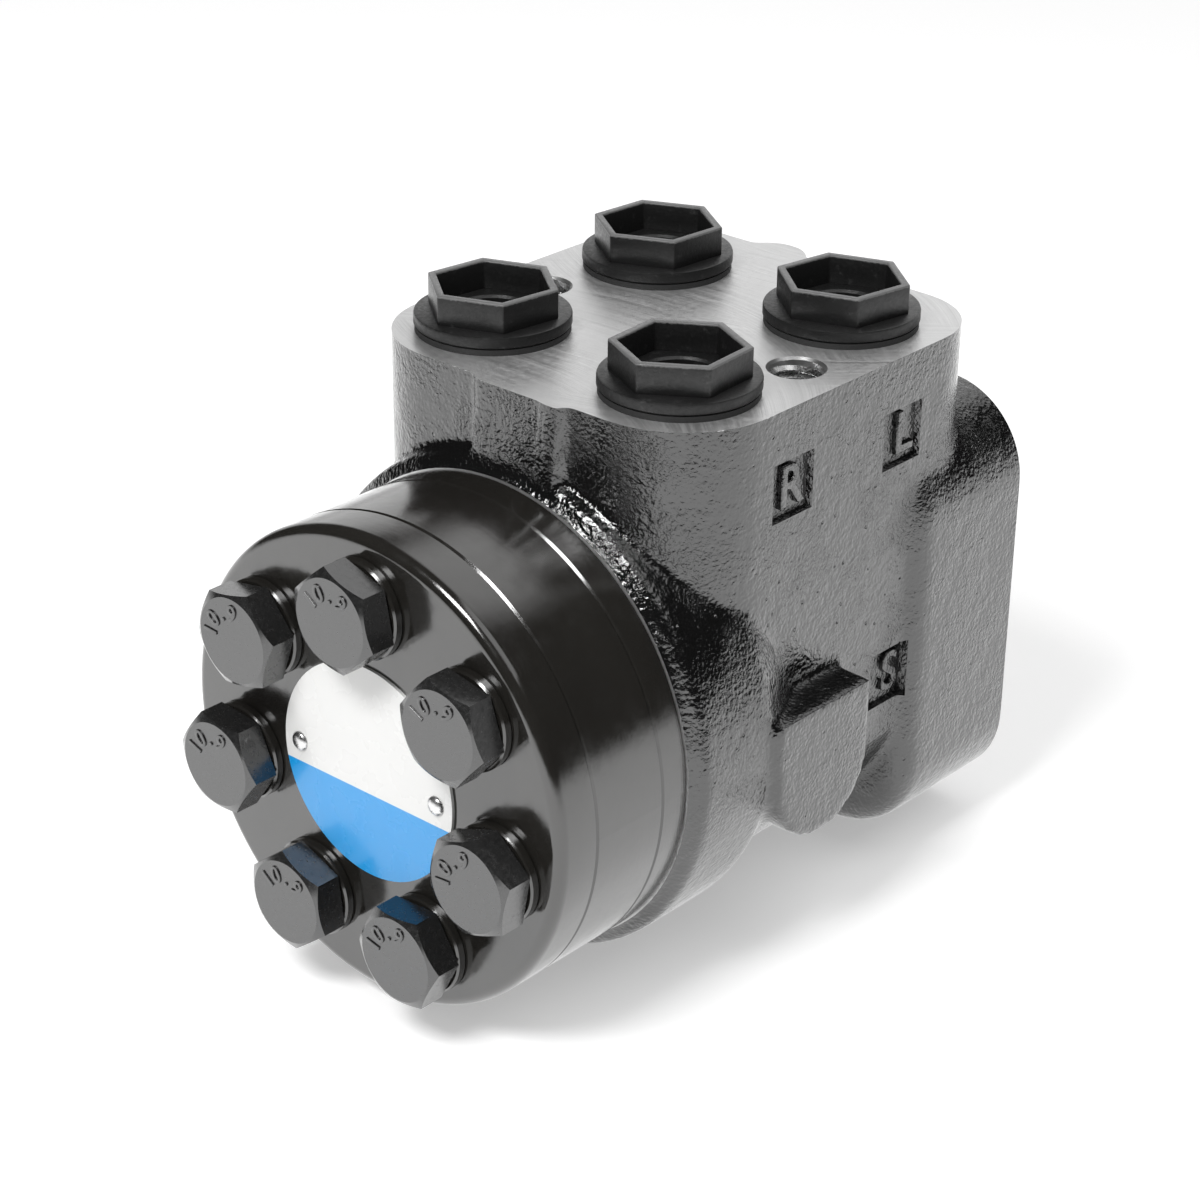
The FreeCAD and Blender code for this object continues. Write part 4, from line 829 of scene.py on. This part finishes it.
piece("forged_pin_bolt", pin_bolt, [bolt_steel], "housing_body", ["pin_bolt"], 20)
piece("thick_washers", joined(washers), [steel_paint], "housing_body", ["bolt_washers"])

# The round plate is thin painted aluminium, white above and blue below, held by two rivets.
PLATE_LINE = -4.1


def printed_plate():
    """White and blue print under a clear lacquer. The plate carries no words."""
    finish = Finish("white_and_blue_print")
    z = finish.axes()[2]
    haze = finish.noise(0.15, 3)
    ivory = (1.0, 1.0, 0.985)
    white = finish.blend(haze, grey(0.73, ivory), grey(0.76, ivory))
    blue = finish.blend(haze, (0.011, 0.29, 0.68, 1), (0.014, 0.31, 0.71, 1))
    above = finish.ramp(z, PLATE_LINE - 0.06, PLATE_LINE + 0.06)
    return finish.made_of(Base_Color=finish.blend(above, blue, white),
                          Roughness=finish.ramp(haze, 0.3, 0.7, 0.22, 0.32),
                          Normal=finish.relief(finish.noise(0.3, 2), 0.02),
                          Coat_Weight=0.25, Coat_Roughness=0.1)


give(printed_plate(), "round_plate")
PLATE_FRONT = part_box("round_plate")[0].y
RIVET_X = 16.8 * MM
RIVET_RADIUS = 1.85 * MM
RIVET_RISE = 1.0 * MM
RIVET_SHANK = 1.3 * MM
RIVET_LENGTH = 5.2 * MM
RIVET_SEAT = 0.02 * MM


def rivet(side):
    """A domed head on the plate, with its shank in the cover."""
    angles = [pi / 2 * step / 7 for step in range(8)]
    outline = [(RIVET_RADIUS * sin(angle), -RIVET_RISE * cos(angle)) for angle in angles]
    outline += [(RIVET_RADIUS, RIVET_SEAT), (RIVET_SHANK, RIVET_SEAT), (RIVET_SHANK, RIVET_LENGTH),
                (0, RIVET_LENGTH)]
    return turned(outline, steps=40, at=(side * RIVET_X, PLATE_FRONT, 0), turn=TURN_TO_Y)


bright_rivet = scuffed_steel("bright_rivet_steel", 1.6, 0.45, 0.66, 0.24, 0.05)
piece("domed_rivets", joined([rivet(side) for side in (-1, 1)]), [bright_rivet], "housing_body",
      ["plate_rivets"])

# Transport plugs close the four ports: a plastic moulding with a hollow hexagon on a round flange,
# a flat seal under the flange and a shank in the port. The rear two have ribs on their floors.
plug_low, plug_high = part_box("port_plug_r")
PLUG_FLATS = 22 * MM
PLUG_WALL = 1.4 * MM
PLUG_RIM = 14.5 * MM
PLUG_TOP = plug_high.z
RIM_TOP = PLUG_TOP - 5.5 * MM
RIM_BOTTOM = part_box("plug_seal_r")[1].z
WELL_RADIUS = 7.1 * MM
WELL_FLOOR = RIM_TOP - 6 * MM
PLUG_SHANK = 9.4 * MM
PLUG_EDGE = 0.45 * MM
HEXAGON_SINK = 0.2 * MM
RIB_LENGTH = 6.4 * MM
RIB_HALF_WIDTH = 0.45 * MM
RIB_TOP = RIM_TOP - 1.2 * MM
PLUG_TURNS = {"r": 4, "l": -10, "p": -8, "t": -5}
RIBBED = "lt"


def black_plastic():
    """Matt black plastic, greyer where it has rubbed in transport, and lighter grey along the top of the
    hexagon wall.
    """
    finish = Finish("black_moulded_plastic")
    z = finish.axes()[2]
    skin = finish.noise(1.6, 4, 0.6)
    rub = finish.ramp(finish.noise(0.5, 5, 0.7), 0.58, 0.76)
    rim = finish.ramp(z + skin * 0.5, PLUG_TOP / MM - 0.25, PLUG_TOP / MM)
    colour = finish.blend(rub * 0.5, grey(0.008), grey(0.06))
    colour = finish.blend(rim * 0.7, colour, grey(0.16))
    return finish.made_of(Base_Color=colour, Roughness=finish.ramp(skin, 0.3, 0.7, 0.34, 0.48),
                          Normal=finish.relief(skin, 0.06))


def hexagon_wall():
    """The hollow hexagon on the flange, with rounded edges."""
    wall = bmesh.new()
    bmesh.ops.create_circle(wall, cap_ends=True, segments=6, radius=PLUG_FLATS / 2 / cos(pi / 6))
    made = bmesh.ops.inset_region(wall, faces=wall.faces[:], thickness=PLUG_WALL, use_boundary=True,
                                  use_even_offset=True)
    ring = set(made["faces"])
    bmesh.ops.delete(wall, geom=[face for face in wall.faces if face not in ring], context="FACES_ONLY")
    raised = bmesh.ops.extrude_face_region(wall, geom=wall.faces[:])
    top = [vert for vert in raised["geom"] if isinstance(vert, bmesh.types.BMVert)]
    bmesh.ops.translate(wall, verts=top, vec=(0, 0, PLUG_TOP - RIM_TOP + HEXAGON_SINK))
    bmesh.ops.recalc_face_normals(wall, faces=wall.faces)
    sharp = [edge for edge in wall.edges if edge.calc_face_angle(0) > radians(20)]
    bevelled(wall, sharp, 0.28 * MM, 3)
    bmesh.ops.translate(wall, verts=wall.verts, vec=(0, 0, RIM_TOP - HEXAGON_SINK))
    return wall


def plug_body():
    """The well, the round flange and the shank of a plug as one turned shape."""
    edge = PLUG_EDGE
    bulge = 0.12 * MM
    return turned([(0, WELL_FLOOR), (WELL_RADIUS - edge, WELL_FLOOR), (WELL_RADIUS, WELL_FLOOR + edge),
                   (WELL_RADIUS, RIM_TOP - edge), (WELL_RADIUS + edge, RIM_TOP), (PLUG_RIM - edge, RIM_TOP),
                   (PLUG_RIM - bulge, RIM_TOP - bulge), (PLUG_RIM, RIM_TOP - edge),
                   (PLUG_RIM, RIM_BOTTOM + edge), (PLUG_RIM - edge, RIM_BOTTOM), (PLUG_SHANK, RIM_BOTTOM),
                   (PLUG_SHANK, plug_low.z + MM), (PLUG_SHANK - MM, plug_low.z), (0, plug_low.z)], steps=96)


def floor_ribs():
    """Thin ribs that stand on the well's floor like a fan."""
    ribs = []
    for number in range(5):
        rib = rounded_block((0, -RIB_HALF_WIDTH, WELL_FLOOR - 0.1 * MM),
                            (RIB_LENGTH, RIB_HALF_WIDTH, RIB_TOP), 2)
        bmesh.ops.rotate(rib, cent=(0, 0, 0), matrix=Matrix.Rotation(radians(15 + 30 * number), 3, "Z"),
                         verts=rib.verts)
        ribs.append(rib)
    return ribs


plastic = black_plastic()
for letter, (x, y) in PORT_PLACES.items():
    plug = joined([plug_body(), hexagon_wall()] + (floor_ribs() if letter in RIBBED else []))
    turn = Matrix.Rotation(radians(PLUG_TURNS[letter]), 4, "Z")
    bmesh.ops.transform(plug, matrix=Matrix.Translation((x, y, 0)) @ turn, verts=plug.verts)
    piece(f"moulded_plug_{letter}", plug, [plastic], f"port_plug_{letter}_body", [f"port_plug_{letter}"])
give(rubber, *(f"plug_seal_{letter}" for letter in PORT_PLACES))

# The floor is plain and pale, and keeps the object's shadow. The gloss paint mirrors it as a white
# sheet that gets darker with the distance, here in millimetres from the middle.
FLOOR_SIZE = 6.0
floor_shape = bmesh.new()
bmesh.ops.create_grid(floor_shape, x_segments=1, y_segments=1, size=FLOOR_SIZE / 2,
                      matrix=Matrix.Translation((0, 0, cad_box[0].z)))
floor = held("floor", floor_shape)
floor_finish = Finish("pale_floor")
seen = floor_finish.node("ShaderNodeLightPath", output="Is Camera Ray")
mirrored = floor_finish.node("ShaderNodeLightPath", output="Is Glossy Ray")
away = floor_finish.node("ShaderNodeVectorMath", {"operation": "LENGTH"}, {0: floor_finish.place}, "Value")
sheet = floor_finish.ramp(away, 250, 1500, 0.9, 0.15)
floor_finish.made_of(Base_Color=grey(0.86), Roughness=0.9, Specular_IOR_Level=0.1, Emission_Color=grey(1.0),
                     Emission_Strength=seen * 0.32 + mirrored * sheet)
floor.data.materials.append(floor_finish.material)

# The room is white to the camera. In the paint and the metal it shows as a white backdrop behind
# the object with a dark studio above and beside it, and it lights everything evenly.
world = bpy.data.worlds.new("studio")
bpy.context.scene.world = world
world.use_nodes = True
room = Wiring(world.node_tree)
direction = room.node("ShaderNodeTexCoord", output="Generated")


def towards(azimuth, elevation):
    """The way from the object to something at a bearing: 0 looks from the front, 90 from the right."""
    turn, rise = radians(azimuth), radians(elevation)
    return Vector((sin(turn) * cos(rise), -cos(turn) * cos(rise), sin(rise)))


def patch(azimuth, elevation, inner, outer):
    """A soft round spot in the room, with its angles from the middle in degrees."""
    facing = room.node("ShaderNodeVectorMath", {"operation": "DOT_PRODUCT"},
                       {0: direction, 1: towards(azimuth, elevation)}, "Value")
    return room.ramp(facing, cos(radians(outer)), cos(radians(inner)))


DARK_ROOM = 0.012
EVEN_LIGHT = 0.5
backdrop = patch(-142, -8, 30, 46)
panel = patch(-168, 50, 8, 28)
mirror_view = backdrop * 1.3 + panel * 1.4 + DARK_ROOM
camera_ray = room.node("ShaderNodeLightPath", output="Is Camera Ray")
glossy_ray = room.node("ShaderNodeLightPath", output="Is Glossy Ray")
clear_ray = room.node("ShaderNodeLightPath", output="Is Transmission Ray")
white = room.node("ShaderNodeMath", {"operation": "MAXIMUM"}, {0: camera_ray, 1: clear_ray})
level = white + (1 - white) * (glossy_ray * mirror_view + (1 - glossy_ray) * EVEN_LIGHT)
room.tree.links.new(level.socket, room.tree.nodes["Background"].inputs["Strength"])
room.tree.nodes["Background"].inputs["Color"].default_value = grey(1.0)

# Soft boxes: one high in front, which lights the faces and glints on edges and grain, and a weaker
# one at the right.
LIT_MIDDLE = Vector((0, -60, 0)) * MM
LAMP_DISTANCE = 1.2


def soft_box(name, azimuth, elevation, size, power):
    """A rectangular lamp at a bearing, turned to the object. Its size is in metres, its power in watts."""
    lamp = bpy.data.lights.new(name, "AREA")
    lamp.shape = "RECTANGLE"
    lamp.size, lamp.size_y = size
    lamp.energy = power
    item = bpy.data.objects.new(name, lamp)
    bpy.context.scene.collection.objects.link(item)
    back = towards(azimuth, elevation)
    item.location = LIT_MIDDLE + back * LAMP_DISTANCE
    item.rotation_mode = "QUATERNION"
    item.rotation_quaternion = back.to_track_quat("Z", "Y")


soft_box("high_front", 6, 50, (0.36, 0.32), 10)
soft_box("high_right", 100, 62, (0.8, 0.8), 3)

# The camera stands where the photographer's did, to the front right and above, with a long lens.
CAMERA_PLACE = Vector((322.8, -441.0, 254.4)) * MM
AIMED_AT = Vector((-9.92, -60.72, 3.94)) * MM
CAMERA_ROLL = radians(0.786)
LENS_LENGTH = 88.1
SENSOR_WIDTH = 36.0
camera_data = bpy.data.cameras.new("camera")
camera_data.lens = LENS_LENGTH
camera_data.sensor_width = SENSOR_WIDTH
camera = bpy.data.objects.new("camera", camera_data)
bpy.context.scene.collection.objects.link(camera)
camera.location = CAMERA_PLACE
aim = (CAMERA_PLACE - AIMED_AT).to_track_quat("Z", "Y").to_matrix().to_4x4()
camera.rotation_mode = "QUATERNION"
camera.rotation_quaternion = (aim @ Matrix.Rotation(CAMERA_ROLL, 4, "Z")).to_quaternion()
bpy.context.scene.camera = camera
bpy.context.scene.view_settings.view_transform = "Standard"
